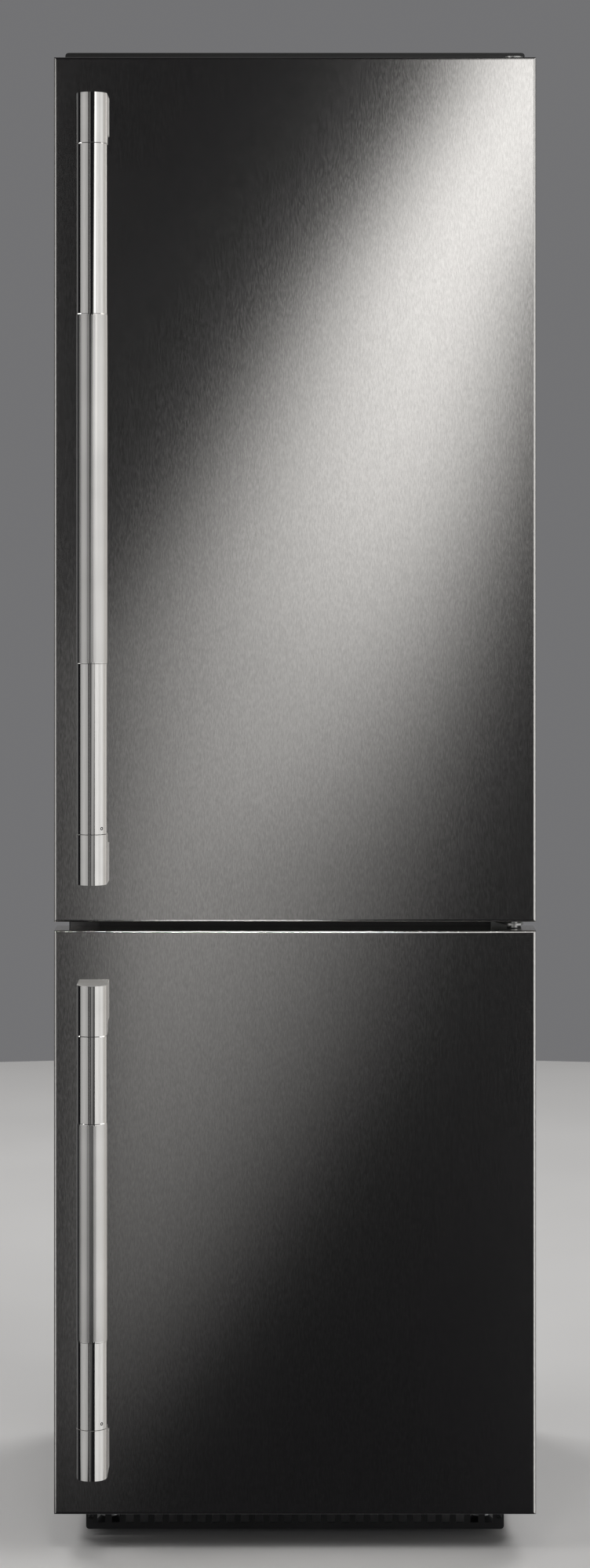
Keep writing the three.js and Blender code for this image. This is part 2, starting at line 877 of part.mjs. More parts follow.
function roller(x) {
  const shape = circle(rollerY, rollerRadius, rollerRadius);
  shape.holes.push(circle(rollerY, rollerRadius, axleRadius + seat));
  return pull(shape, 'x', x - rollerWidth / 2, x + rollerWidth / 2, 10);
}

// ---------------------------------------------------------------- cooling machine
// Welded pot: a cup and a dished lid that meet in a bead, as shares of radius and height.
function compressorPot() {
  const profile = [
    [0, 0],
    [0.7, 0],
    [0.92, 0.1],
    [1, 0.25],
    [1, 0.52],
    [1 + compressorSeam / compressorRadius, 0.53],
    [1 + compressorSeam / compressorRadius, 0.57],
    [1, 0.58],
    [0.97, 0.75],
    [0.8, 0.93],
    [0.45, 1],
    [0, 1],
  ];
  const sized = profile.map(([across, up]) => [across * compressorRadius, potLow + up * compressorHeight]);
  return turned(sized, 18, compressorX, machineMiddle);
}

function compressor() {
  const halfX = compressorHalfLength;
  const halfY = compressorRadius;
  const plate = pull(
    roundedRectangle(
      compressorX - halfX, compressorX + halfX,
      machineMiddle - halfY, machineMiddle + halfY,
      compressorPlateRadius,
    ),
    'z', compressorPlateLow, compressorPlateLow + compressorPlate,
  );
  const feet = [-1, 1].flatMap((across) => [-1, 1].map((along) => rod(
    'z',
    compressorX + across * (halfX - compressorFootInset),
    machineMiddle + along * (halfY - compressorFootInset),
    compressorFootRadius, compressorFloor, compressorPlateLow + past, 4,
  )));
  const terminalLow = potLow + terminalRise;
  const terminalBox = pull(
    roundedRectangle(
      machineMiddle - terminalHalfWidth, machineMiddle + terminalHalfWidth,
      terminalLow, terminalLow + terminalHeight,
      terminalRadius,
    ),
    'x', compressorX + compressorRadius / 2, compressorX + compressorRadius + terminalProud,
  );
  const ports = [-1, 1].map((side) => rod(
    'y', compressorX + side * portSpacing, terminalLow + terminalHeight, portRadius,
    machineMiddle, machineMiddle + compressorRadius + portLength, 4,
  ));
  return joinAll([compressorPot(), plate, ...feet, terminalBox, ...ports]);
}

// Open tray on the compressor that the defrost water dries from.
function condensateTray() {
  return tub(
    compressorX - compressorHalfLength, compressorX + compressorHalfLength,
    machineMiddle - compressorRadius, machineMiddle + compressorRadius,
    trayLow, trayLow + trayHeight, trayWall,
  );
}

class UprightBend extends THREE.Curve {
  constructor(centre, radius, side) {
    super();
    this.centre = centre;
    this.radius = radius;
    this.side = side;
  }

  getPoint(t, target = new THREE.Vector3()) {
    const angle = (t - 0.5) * Math.PI;
    return target.set(
      this.centre.x + this.side * Math.cos(angle) * this.radius,
      this.centre.y,
      this.centre.z + Math.sin(angle) * this.radius,
    );
  }
}

// Level runs joined by half-circle bends at alternate ends.
function coilPath() {
  const path = new THREE.CurvePath();
  for (let run = 0; run < condenserRuns; run += 1) {
    const z = coilBottom + run * condenserPitch;
    const side = run % 2 === 0 ? 1 : -1;
    path.add(new THREE.LineCurve3(
      new THREE.Vector3(-side * coilReach, coilY, z),
      new THREE.Vector3(side * coilReach, coilY, z),
    ));
    if (run < condenserRuns - 1) {
      const centre = new THREE.Vector3(side * coilReach, coilY, z + coilBend);
      path.add(new UprightBend(centre, coilBend, side));
    }
  }
  return path;
}

// A six-sided tube along straight runs and bends, with rings only where it turns.
function serpentine(path) {
  const sides = 6;
  const bendSteps = 5;
  const centres = [];
  path.curves.forEach((curve) => {
    const steps = curve instanceof UprightBend ? bendSteps : 1;
    for (let step = centres.length === 0 ? 0 : 1; step <= steps; step += 1) {
      centres.push(curve.getPoint(step / steps));
    }
  });
  const positions = [];
  const across = new THREE.Vector3(0, 1, 0);
  centres.forEach((centre, index) => {
    const before = centres[Math.max(index - 1, 0)];
    const after = centres[Math.min(index + 1, centres.length - 1)];
    const forward = after.clone().sub(before).normalize();
    const up = new THREE.Vector3().crossVectors(across, forward);
    for (let side = 0; side < sides; side += 1) {
      const angle = (side / sides) * Math.PI * 2;
      const point = centre.clone()
        .addScaledVector(across, Math.cos(angle) * condenserTubeRadius)
        .addScaledVector(up, Math.sin(angle) * condenserTubeRadius);
      positions.push(point.x, point.y, point.z);
    }
  });
  const faces = [];
  for (let ring = 0; ring < centres.length - 1; ring += 1) {
    for (let side = 0; side < sides; side += 1) {
      const next = (side + 1) % sides;
      const a = ring * sides + side;
      const b = ring * sides + next;
      faces.push(a, a + sides, b, b, a + sides, b + sides);
    }
  }
  const last = (centres.length - 1) * sides;
  for (let side = 1; side < sides - 1; side += 1) {
    faces.push(0, side, side + 1);
    faces.push(last, last + side + 1, last + side);
  }
  const geometry = new THREE.BufferGeometry();
  geometry.setAttribute('position', new THREE.Float32BufferAttribute(positions, 3));
  geometry.setIndex(faces);
  return toSolid(geometry);
}

// Upright wires welded on the two sides of the tube, turn about.
function coilWires() {
  return Array.from({ length: condenserWires }, (_, index) => {
    const x = coilReach * ((2 * index) / (condenserWires - 1) - 1);
    const side = index % 2 === 0 ? 1 : -1;
    const y = coilY + side * condenserTubeRadius;
    return block(
      x - condenserWireRadius, x + condenserWireRadius,
      y - condenserWireRadius, y + condenserWireRadius,
      coilLow, coilHigh,
    );
  });
}

// Two flat straps down the tube's front, each on two stand-offs to the cabinet's back.
function coilStraps() {
  const front = coilY - condenserTubeRadius;
  return [-strapX, strapX].flatMap((x) => {
    const low = x - strapWidth / 2;
    const high = x + strapWidth / 2;
    return [
      block(low, high, front - strapThickness, front + strapThickness / 2, coilLow, coilHigh),
      block(low, high, cabinetDepth + seat, front, coilLow, coilLow + strapWidth),
      block(low, high, cabinetDepth + seat, front, coilHigh - strapWidth, coilHigh),
    ];
  });
}

function condenserCoil() {
  return joinAll([serpentine(coilPath()), ...coilStraps(), ...coilWires()]);
}

// Fin block across the freezer's back, drawn as one comb.
function evaporator() {
  const back = freezerBack - seat;
  const root = back - evaporatorPlate;
  const pitch = (evaporatorHalf * 2 - evaporatorFin) / (evaporatorFins - 1);
  const plate = block(-evaporatorHalf, evaporatorHalf, root, back, evaporatorLow, evaporatorHigh);
  const fins = Array.from({ length: evaporatorFins }, (_, index) => {
    const x = index * pitch - evaporatorHalf;
    return block(
      x, x + evaporatorFin,
      back - evaporatorDepth, root + past,
      evaporatorLow, evaporatorHigh,
    );
  });
  return joinAll([plate, ...fins]);
}

function fanMotor() {
  const back = freezerBack - seat;
  const flange = pull(
    roundedRectangle(
      -motorFlangeHalf, motorFlangeHalf,
      fanZ - motorRadius, fanZ + motorRadius,
      motorFlangeRadius,
    ),
    'y', back - baseSheet, back,
  );
  const can = rod('y', 0, fanZ, motorRadius, motorFront, back - baseSheet / 2);
  const shaft = rod('y', 0, fanZ, fanShaftRadius, fanFront + past * 2, motorFront + past, 4);
  return joinAll([flange, can, shaft]);
}

// A curved paddle from the hub to the tip, drawn upright and set at a slant.
function fanBlade(turn) {
  const rootHalf = fanDepth * 0.42;
  const tipHalf = fanDepth * 0.8;
  const root = fanHubRadius * 0.6;
  const blade = new THREE.Shape();
  blade.moveTo(-rootHalf, root);
  blade.lineTo(-tipHalf, fanRadius * 0.8);
  blade.quadraticCurveTo(0, fanRadius * 1.18, tipHalf, fanRadius * 0.85);
  blade.lineTo(rootHalf, root);
  const geometry = new THREE.ExtrudeGeometry(blade, {
    depth: fanBladeThickness,
    bevelEnabled: false,
    curveSegments: 4,
  });
  geometry.translate(0, 0, -fanBladeThickness / 2);
  geometry.rotateY(-fanBladeSlant);
  geometry.applyMatrix4(axes.y);
  geometry.rotateY(turn);
  geometry.translate(0, (fanFront + fanBack) / 2, fanZ);
  return toSolid(geometry);
}

function evaporatorFan() {
  const hub = rod('y', 0, fanZ, fanHubRadius, fanFront, fanBack, 6);
  const blades = Array.from({ length: fanBlades }, (_, index) => (
    fanBlade((index / fanBlades) * Math.PI * 2)
  ));
  const bore = rod('y', 0, fanZ, fanShaftRadius + seat, fanFront - past, fanBack + past, 4);
  return joinAll([hub, ...blades]).subtract(bore);
}

// Guard of two crossed bars and a ring in the fan's mouth.
function fanGuard() {
  const front = airCoverFront;
  const back = airCoverFront + airCoverWall;
  const reach = fanRadius + fanTipGap + past;
  const half = guardBar / 2;
  const ring = circle(0, fanZ, guardRingRadius);
  ring.holes.push(circle(0, fanZ, guardRingRadius - guardBar));
  return joinAll([
    block(-reach, reach, front, back, fanZ - half, fanZ + half),
    block(-half, half, front, back, fanZ - reach, fanZ + reach),
    pull(ring, 'y', front, back, 8),
  ]);
}

// Moulded cover in front of the evaporator, with the fan's mouth and two rows of slots.
function freezerAirCover() {
  const front = airCoverFront;
  const half = freezerHalf - seat;
  const low = stepTop + seat;
  const high = freezerCeiling - seat;
  const shell = block(-half, half, front, freezerBack - seat, low, high);
  const hollow = block(
    -half + airCoverWall, half - airCoverWall,
    front + airCoverWall, freezerBack,
    low + airCoverWall, high - airCoverWall,
  );
  const wallBack = front + airCoverWall + past;
  const mouth = rod('y', 0, fanZ, fanRadius + fanTipGap, front - past, wallBack, 10);
  const slots = [0, 1].flatMap((row) => Array.from({ length: airSlotCount }, (_, index) => {
    const x = (index - (airSlotCount - 1) / 2) * airSlotPitch;
    const z = low + airSlotRise + row * airSlotRowPitch;
    return block(
      x - airSlotLength / 2, x + airSlotLength / 2,
      front - past, wallBack,
      z, z + airSlotHeight,
    );
  }));
  return cutAll(shell, [hollow, mouth, ...slots]).add(fanGuard());
}

// ---------------------------------------------------------------- fridge fittings
function airDuctCover() {
  const half = ductHalfWidth;
  const low = crisperCover + ductRise;
  const high = fridgeCeiling - ductDrop;
  const back = fridgeBack - seat;
  const front = back - ductThickness;
  const panel = pull(roundedRectangle(-half, half, low, high, ductCornerRadius), 'y', front, back);
  const hollow = block(
    -half + tubWall, half - tubWall,
    front + tubWall, back + past,
    low + ductCornerRadius, high - ductCornerRadius,
  );
  const vents = shelfHeights.flatMap((height) => [-half / 2, half / 2].map((x) => block(
    x - ventWidth / 2, x + ventWidth / 2,
    front - past, front + tubWall + past,
    height + ventRise, height + ventRise + ventHeight,
  )));
  return cutAll(panel, [hollow, ...vents]);
}

// Sloped housing under the ceiling with the control and the lamp behind it.
function controlHousing() {
  const top = fridgeCeiling - seat;
  const low = top - housingHeight;
  const profile = outline([
    [housingFront, low + housingNose],
    [housingFront + housingNose, low],
    [housingFront + housingDepth, low + housingSlope],
    [housingFront + housingDepth, top],
    [housingFront, top],
  ]);
  const bore = rod(
    'y', buttonSide, buttonZ, buttonRadius + seat,
    housingFront - past, housingFront - buttonProud + buttonLength + buttonTravel,
  );
  return pull(profile, 'x', -housingHalfWidth, housingHalfWidth).subtract(bore);
}

// A short plunger with a chamfered front, turned about the y axis.
function temperatureButton() {
  const profile = [
    [0, 0],
    [buttonRadius - buttonChamfer, 0],
    [buttonRadius, buttonChamfer],
    [buttonRadius, buttonLength],
    [0, buttonLength],
  ];
  const geometry = new THREE.LatheGeometry(profile.map(([r, y]) => new THREE.Vector2(r, y)), 20);
  geometry.translate(buttonSide, housingFront - buttonProud, buttonZ);
  return toSolid(geometry);
}

function shelfPlate(top, front) {
  const half = fridgeHalf - shelfSideGap;
  const shape = roundedRectangle(-half, half, front, shelfBack, shelfCornerRadius);
  return pull(shape, 'z', top, top + shelfGlass);
}

// Front trim: a rounded channel that grips the glass's front edge.
function shelfTrim(top) {
  const half = fridgeHalf - shelfSideGap;
  const wall = shelfFront + trimWall;
  const back = wall + trimLip;
  const low = top - (trimHeight - shelfGlass) / 2;
  const section = roundedRectangle(shelfFront, back, low, low + trimHeight, trimRadius);
  const groove = block(
    -half - past, half + past,
    wall, back + past,
    top - seat, top + shelfGlass + seat,
  );
  const overLedge = [-1, 1].map((side) => (
    sideBlock(side, fridgeHalf - shelfLedge - seat, half + past, wall, back + past, low - past, top)
  ));
  return cutAll(pull(section, 'x', -half, half, 3), [groove, ...overLedge]);
}

// An open tub with round upright corners and, where rim is given, a rim along each side.
function tub(lowX, highX, lowY, highY, low, high, wall, rim = 0, rimThickness = 0) {
  const outside = pull(roundedRectangle(lowX, highX, lowY, highY, tubCornerRadius), 'z', low, high);
  const inside = pull(
    roundedRectangle(lowX + wall, highX - wall, lowY + wall, highY - wall, tubCornerRadius - wall),
    'z', low + wall, high + past,
  );
  if (rim === 0) return outside.subtract(inside);
  const rims = block(
    lowX - rim, highX + rim,
    lowY + tubCornerRadius, highY - tubCornerRadius,
    high - rimThickness, high,
  );
  return outside.add(rims).subtract(inside);
}

// A finger recess scooped out of the top edge of a drawer's front.
function pullScoop(x, front, top) {
  const half = pullWidth / 2;
  const shoulder = half - pullHeight;
  const scoop = new THREE.Shape();
  scoop.moveTo(x - half, top + past);
  scoop.lineTo(x - half, top);
  scoop.quadraticCurveTo(x - shoulder, top, x - shoulder, top - pullHeight);
  scoop.lineTo(x + shoulder, top - pullHeight);
  scoop.quadraticCurveTo(x + shoulder, top, x + half, top);
  scoop.lineTo(x + half, top + past);
  return pull(scoop, 'y', front - past, front + drawerPanel + tubWall + past, 4);
}

function crisperDrawer(side) {
  const outer = fridgeHalf - crisperFromSide;
  const low = side < 0 ? -outer : crisperGap / 2;
  const high = side < 0 ? -crisperGap / 2 : outer;
  const box = tub(low, high, crisperFront, crisperBack, fridgeFloor + seat, crisperTop, tubWall);
  return box.subtract(pullScoop((low + high) / 2, crisperFront, crisperTop));
}

// ---------------------------------------------------------------- freezer drawers
function freezerDrawer({ floor, top, back }) {
  const half = drawerHalf - drawerRim;
  const box = tub(
    -half, half, drawerFront + drawerPanel / 2, back,
    floor, top, tubWall, drawerRim, drawerRimThickness,
  );
  const panelTop = top + drawerPanelRise;
  const panel = pull(
    roundedRectangle(-drawerHalf, drawerHalf, floor, panelTop, drawerPanelRadius),
    'y', drawerFront, drawerFront + drawerPanel,
  );
  return box.add(panel).subtract(pullScoop(0, drawerFront, panelTop));
}

// ---------------------------------------------------------------- doors
// Stainless pan folded back on all four sides, with soft front edges.
function doorSkin(low, high) {
  const half = doorWidth / 2;
  const r = doorEdgeRadius;
  const plan = new THREE.Shape();
  plan.moveTo(-half, doorBack);
  plan.lineTo(-half, doorFace + r);
  plan.absarc(-half + r, doorFace + r, r, Math.PI, Math.PI * 1.5, false);
  plan.lineTo(half - r, doorFace);
  plan.absarc(half - r, doorFace + r, r, Math.PI * 1.5, Math.PI * 2, false);
  plan.lineTo(half, doorBack);
  const side = new THREE.Shape();
  side.moveTo(doorBack, low);
  side.lineTo(doorFace + r, low);
  side.absarc(doorFace + r, low + r, r, Math.PI * 1.5, Math.PI, true);
  side.lineTo(doorFace, high - r);
  side.absarc(doorFace + r, high - r, r, Math.PI, Math.PI / 2, true);
  side.lineTo(doorBack, high);
  const inside = block(
    -half + doorSheet, half - doorSheet,
    doorFace + doorSheet, doorBack + past,
    low + doorSheet, high - doorSheet,
  );
  const body = pull(plan, 'z', low, high, 3).intersect(pull(side, 'x', -half, half, 3));
  return pinBores(body.subtract(inside), low, high, hingePinRadius + seat);
}

function doorFoam(low, high) {
  const gap = doorSheet + seat;
  const body = block(
    -doorWidth / 2 + gap, doorWidth / 2 - gap,
    doorFace + gap, doorBack - doorLinerWall - seat,
    low + gap, high - gap,
  );
  return pinBores(body, low, high, hingePinRadius + seat * 2);
}

// Bores for the hinge pins at both ends of a door.
function pinBores(solid, low, high, radius) {
  const depth = hingePinReach + past;
  return cutAll(solid, [
    rod('z', hingeX, hingeY, radius, low - past, low + depth, 5),
    rod('z', hingeX, hingeY, radius, high - depth, high + past, 5),
  ]);
}

function doorLinerPlate(low, high) {
  const gap = doorSheet + seat;
  return block(
    -doorWidth / 2 + gap, doorWidth / 2 - gap,
    doorBack - doorLinerWall, doorBack,
    low + gap, high - gap,
  );
}

// An upright wall with draft on one side of the fridge door, which the bins hang from.
function doorDyke(side) {
  const root = doorBack - doorLinerWall / 2;
  const shape = outline([
    [side * dykeInner, root],
    [side * (dykeOuter + dykeDraft), root],
    [side * dykeOuter, dykeReach - dykeDraft],
    [side * (dykeOuter - dykeDraft), dykeReach],
    [side * (dykeInner + dykeDraft), dykeReach],
    [side * dykeInner, dykeReach - dykeDraft],
  ]);
  return pull(shape, 'z', fridgeFloor + dykeEndInset, fridgeCeiling - dykeEndInset);
}

function fridgeDoorLiner() {
  const ledges = Object.values(bins).flatMap(({ floor, height }) => [-1, 1].map((side) => {
    const top = floor + height - binRim - seat;
    return sideBlock(
      side, dykeInner - binRim + seat, dykeInner + past,
      doorBack - past, dykeReach - dykeDraft * 2,
      top - ledgeHeight, top,
    );
  }));
  const pinReach = dykeInner + lidPinLength + seat;
  const pinHoles = rod('x', lidPinY, lidPinZ, lidPinRadius + seat, -pinReach, pinReach, 4);
  const plate = doorLinerPlate(fridgeDoorBottom, doorTop);
  return joinAll([plate, doorDyke(-1), doorDyke(1), ...ledges]).subtract(pinHoles);
}

function doorBin({ floor, height }) {
  const half = dykeInner - binRim - seat * 2;
  return tub(
    -half, half, doorBack + seat, binReach,
    floor, floor + height, tubWall, binRim, binRim,
  );
}

// Lid of the top bin, bowed a little, with a pin at each end of its back edge.
function dairyLid() {
  const half = dykeInner - seat * 2;
  const low = lidPinZ - lidThickness / 2;
  const high = lidPinZ + lidThickness / 2;
  const middle = (lidPinY + binReach) / 2;
  const profile = new THREE.Shape();
  profile.moveTo(lidPinY, low);
  profile.quadraticCurveTo(middle, low + lidBow, binReach, low);
  profile.lineTo(binReach, high);
  profile.quadraticCurveTo(middle, high + lidBow, lidPinY, high);
  const pinReach = dykeInner + lidPinLength;
  return joinAll([
    pull(profile, 'x', -half, half, 5),
    rod('x', lidPinY, lidPinZ, lidPinRadius + lidKnuckleWall, -half, half, 4),
    rod('x', lidPinY, lidPinZ, lidPinRadius, -pinReach, pinReach, 4),
  ]);
}

// Flat plate with a shallow raised panel, rounded at its corners.
function freezerDoorLiner() {
  const half = drawerHalf - doorPanelInset;
  const panel = pull(
    roundedRectangle(
      -half, half,
      freezerFloor + doorPanelInset, freezerCeiling - doorPanelInset,
      doorPanelRadius,
    ),
    'y', doorBack - past, -doorPanelSetBack,
  );
  return doorLinerPlate(floorToDoor, freezerDoorTop).add(panel);
}

// Hollow magnetic gasket round a mouth, drawn as its outer section.
function gasket(mouthHalf, mouthLow, mouthHigh) {
  const inner = gasketLip;
  const outer = gasketLip + gasketWidth;
  const ring = roundedRectangle(
    -mouthHalf - outer, mouthHalf + outer,
    mouthLow - outer, mouthHigh + outer,
    gasketCornerRadius,
  );
  ring.holes.push(roundedRectangle(
    -mouthHalf - inner, mouthHalf + inner,
    mouthLow - inner, mouthHigh + inner,
    gasketCornerRadius / 2,
  ));
  return pull(ring, 'y', doorBack + seat, -seat);
}

// ---------------------------------------------------------------- handles
// Round bar between two posts, with a raised knurled band in the middle.
function handleBar(low, high, knurlLength) {
  const start = low + postHeight + seat;
  const end = high - postHeight - seat;
  const knurlLow = (low + high - knurlLength) / 2;
  const knurlHigh = knurlLow + knurlLength;
  const neck = barRadius - seamGroove;
  const crest = barRadius + knurlRise;
  return turned([
    [0, start],
    [neck, start],
    [barRadius, start + seamGroove],
    [barRadius, knurlLow],
    [crest, knurlLow + knurlRise],
    [crest, knurlHigh - knurlRise],
    [barRadius, knurlHigh],
    [barRadius, end - seamGroove],
    [neck, end],
    [0, end],
  ], 32, handleX, handleY);
}

// End post: half round in front, flat flanks back to the door, and a hollowed inner corner.
// side is 1 for the upper post, whose outer end is up, and -1 for the lower one.
function handlePost(outerEnd, side) {
  const innerEnd = outerEnd - side * postHeight;
  const footEnd = outerEnd - side * postFootHeight;
  const footY = doorFace - seat;
  const barBack = handleY + barRadius;
  const plan = new THREE.Shape();
  plan.moveTo(handleX - barRadius, footY);
  plan.lineTo(handleX - barRadius, handleY);
  plan.absarc(handleX, handleY, barRadius, Math.PI, Math.PI * 2, false);
  plan.lineTo(handleX + barRadius, footY);
  const profile = new THREE.Shape();
  profile.moveTo(footY, outerEnd);
  profile.lineTo(handleY - barRadius, outerEnd);
  profile.lineTo(handleY - barRadius, innerEnd);
  profile.lineTo(barBack, innerEnd);
  profile.quadraticCurveTo(barBack, footEnd, barBack + postHollow, footEnd);
  profile.lineTo(footY, footEnd);
  const low = Math.min(outerEnd, innerEnd);
  const high = Math.max(outerEnd, innerEnd);
  return pull(plan, 'z', low, high, 8)
    .intersect(pull(profile, 'x', handleX - barRadius - past, handleX + barRadius + past, 5));
}

function addHandle(name, doorLow, doorHigh, inset, knurlLength) {
  const low = doorLow + inset;
  const high = doorHigh - inset;
  add(`${name}_handle_bar`, handleBar(low, high, knurlLength), finishes.handleSteel);
  add(`${name}_handle_post_upper`, handlePost(high, 1), finishes.handleSteel);
  add(`${name}_handle_post_lower`, handlePost(low, -1), finishes.handleSteel);
}

// ---------------------------------------------------------------- assembly
add('outer_case', outerCase(), finishes.paintedCase);
add('back_panel', backPanel(), finishes.zincSteel);
add('insulation_foam', insulationFoam(), finishes.foam);
add('fridge_liner', fridgeLiner(), finishes.liner);
add('freezer_liner', freezerLiner(), finishes.liner);
add('centre_rail', centreRail(), finishes.paintedCase);
add('centre_rail_blank', railBlank(), finishes.blackPlastic);
add('top_cover', topCover(), finishes.blackPlastic);

const pinTop = topPlateLow + hingePlate;
const pinLow = freezerDoorTop - hingePinReach;
const pinHigh = fridgeDoorBottom + hingePinReach;
add('top_hinge_plate', topHingePlate(), finishes.zincSteel);
add('top_hinge_pin', hingePin(doorTop - hingePinReach, pinTop, true, false), finishes.zincSteel);
add('centre_hinge_plate', hingeBracket(railLow, hingeFootHeight, centreTongue), finishes.zincSteel);
add('centre_hinge_pin', hingePin(pinLow, pinHigh, true, true), finishes.zincSteel);
add('bottom_hinge_plate', hingeBracket(bottomTongue, bottomFootHeight, bottomTongue), finishes.zincSteel);
add('bottom_hinge_pin', hingePin(bottomTongue, floorToDoor + hingePinReach, false, true), finishes.zincSteel);

add('base_pan', basePan(), finishes.zincSteel);
add('toe_grille', toeGrille(), finishes.blackPlastic);
add('left_foot', foot(-footX), finishes.blackPlastic);
add('right_foot', foot(footX), finishes.blackPlastic);
add('left_roller', roller(-rollerX), finishes.blackPlastic);
add('right_roller', roller(rollerX), finishes.blackPlastic);

add('compressor', compressor(), finishes.blackPaint);
add('condensate_tray', condensateTray(), finishes.blackPlastic);
add('condenser_coil', condenserCoil(), finishes.blackPaint);
add('evaporator', evaporator(), finishes.aluminium);
add('fan_motor', fanMotor(), finishes.zincSteel);
add('evaporator_fan', evaporatorFan(), finishes.fanPlastic);
add('freezer_air_cover', freezerAirCover(), finishes.liner);

add('air_duct_cover', airDuctCover(), finishes.liner);
add('control_housing', controlHousing(), finishes.liner);
add('temperature_button', temperatureButton(), finishes.trim);
shelfHeights.forEach((height, index) => {
  add(`shelf_glass_${index + 1}`, shelfPlate(height, shelfFront + trimWall + seat), finishes.glass);
  add(`shelf_trim_${index + 1}`, shelfTrim(height), finishes.trim);
});
add('crisper_cover_glass', shelfPlate(crisperCover, crisperFront), finishes.glass);
add('crisper_drawer_left', crisperDrawer(-1), finishes.clear);
add('crisper_drawer_right', crisperDrawer(1), finishes.clear);
Object.entries(drawers).forEach(([level, places]) => {
  add(`freezer_drawer_${level}`, freezerDrawer(places), finishes.clear);
});

add('fridge_door_skin', doorSkin(fridgeDoorBottom, doorTop), finishes.stainless);
add('fridge_door_foam', doorFoam(fridgeDoorBottom, doorTop), finishes.foam);
add('fridge_door_liner', fridgeDoorLiner(), finishes.liner);
add('fridge_door_gasket', gasket(fridgeHalf, fridgeFloor, fridgeCeiling), finishes.gasket);
Object.entries(bins).forEach(([level, places]) => {
  add(`door_bin_${level}`, doorBin(places), finishes.clear);
});
add('dairy_lid', dairyLid(), finishes.clear);
addHandle('fridge', fridgeDoorBottom, doorTop, fridgeHandleInset, fridgeKnurlLength);

add('freezer_door_skin', doorSkin(floorToDoor, freezerDoorTop), finishes.stainless);
add('freezer_door_foam', doorFoam(floorToDoor, freezerDoorTop), finishes.foam);
add('freezer_door_liner', freezerDoorLiner(), finishes.liner);
add('freezer_door_gasket', gasket(freezerHalf, freezerFloor, freezerCeiling), finishes.gasket);
addHandle('freezer', floorToDoor, freezerDoorTop, freezerHandleInset, freezerKnurlLength);

// The origin goes to the middle of the base: half way from the bars' fronts to the coil's back.
const front = handleY - barRadius - knurlRise;
const back = coilY + condenserTubeRadius + condenserWireRadius;
refrigerator.position.y = -(front + back) / 2;
refrigerator.updateMatrixWorld(true);

export default refrigerator;
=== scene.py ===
import math

import bmesh
import bpy
from mathutils import Matrix, Vector
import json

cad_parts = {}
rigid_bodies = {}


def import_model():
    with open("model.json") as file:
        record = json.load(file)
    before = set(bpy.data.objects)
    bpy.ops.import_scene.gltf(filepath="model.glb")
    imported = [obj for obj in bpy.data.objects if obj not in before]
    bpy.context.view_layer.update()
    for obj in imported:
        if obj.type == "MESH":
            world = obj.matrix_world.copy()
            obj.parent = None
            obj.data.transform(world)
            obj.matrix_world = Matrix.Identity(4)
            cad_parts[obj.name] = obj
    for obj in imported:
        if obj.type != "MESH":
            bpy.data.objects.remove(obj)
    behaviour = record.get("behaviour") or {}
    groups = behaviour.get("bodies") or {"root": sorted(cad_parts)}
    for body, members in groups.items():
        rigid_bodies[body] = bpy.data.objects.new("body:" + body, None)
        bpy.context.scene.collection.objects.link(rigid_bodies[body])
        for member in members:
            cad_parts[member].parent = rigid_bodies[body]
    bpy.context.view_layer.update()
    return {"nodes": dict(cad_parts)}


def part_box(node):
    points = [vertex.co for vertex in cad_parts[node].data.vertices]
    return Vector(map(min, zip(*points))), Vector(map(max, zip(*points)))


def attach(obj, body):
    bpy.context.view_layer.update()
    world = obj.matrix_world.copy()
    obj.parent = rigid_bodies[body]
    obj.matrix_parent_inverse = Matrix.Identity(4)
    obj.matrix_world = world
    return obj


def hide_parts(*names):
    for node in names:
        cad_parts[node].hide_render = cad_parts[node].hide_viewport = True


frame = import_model()
nodes = frame["nodes"]

# ------------------------------------------------------------------ camera
# The photograph is taken square to the doors from 4.5 m in front of their faces, a little
# above the lower edge of the fridge door. The lens is level and is shifted down.
face_distance = 4.5
eye_height = 1.248
face_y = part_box("fridge_door_skin")[0][1]
camera = bpy.data.objects.new("camera", bpy.data.cameras.new("camera"))
camera.data.sensor_width = 36
camera.data.lens = 83.7
camera.data.shift_y = -0.155
camera.location = (0, face_y - face_distance, eye_height)
camera.rotation_euler = (math.radians(90), 0, 0)
bpy.context.scene.collection.objects.link(camera)
bpy.context.scene.camera = camera
bpy.context.scene.view_settings.view_transform = "Standard"


# ------------------------------------------------------------------ studio room
# A dim room in front of the doors and a grey wall behind the cabinet, so that the steel
# faces stay dark away from the lamps and the cabinet's sides and back stand out.
dim_room = (0.010, 0.010, 0.011, 1)
grey_wall = (0.17, 0.17, 0.175, 1)
wall_start = 0.45
wall_full = 0.9
world = bpy.data.worlds.new("studio")
world.use_nodes = True
bpy.context.scene.world = world
world_nodes = world.node_tree.nodes
world_links = world.node_tree.links
direction = world_nodes.new("ShaderNodeTexCoord")
split = world_nodes.new("ShaderNodeSeparateXYZ")
turn_to_wall = world_nodes.new("ShaderNodeMapRange")
turn_to_wall.interpolation_type = "SMOOTHSTEP"
turn_to_wall.inputs["From Min"].default_value = wall_start
turn_to_wall.inputs["From Max"].default_value = wall_full
room_mix = world_nodes.new("ShaderNodeMix")
room_mix.data_type = "RGBA"
room_mix.inputs["A"].default_value = dim_room
room_mix.inputs["B"].default_value = grey_wall
world_links.new(direction.outputs["Generated"], split.inputs[0])
world_links.new(split.outputs["Y"], turn_to_wall.inputs["Value"])
seen = world_nodes.new("ShaderNodeLightPath")
wall_share = world_nodes.new("ShaderNodeMath")
wall_share.operation = "MAXIMUM"
world_links.new(turn_to_wall.outputs["Result"], wall_share.inputs[0])
world_links.new(seen.outputs["Is Camera Ray"], wall_share.inputs[1])
world_links.new(wall_share.outputs[0], room_mix.inputs["Factor"])
world_links.new(room_mix.outputs["Result"], world_nodes["Background"].inputs["Color"])


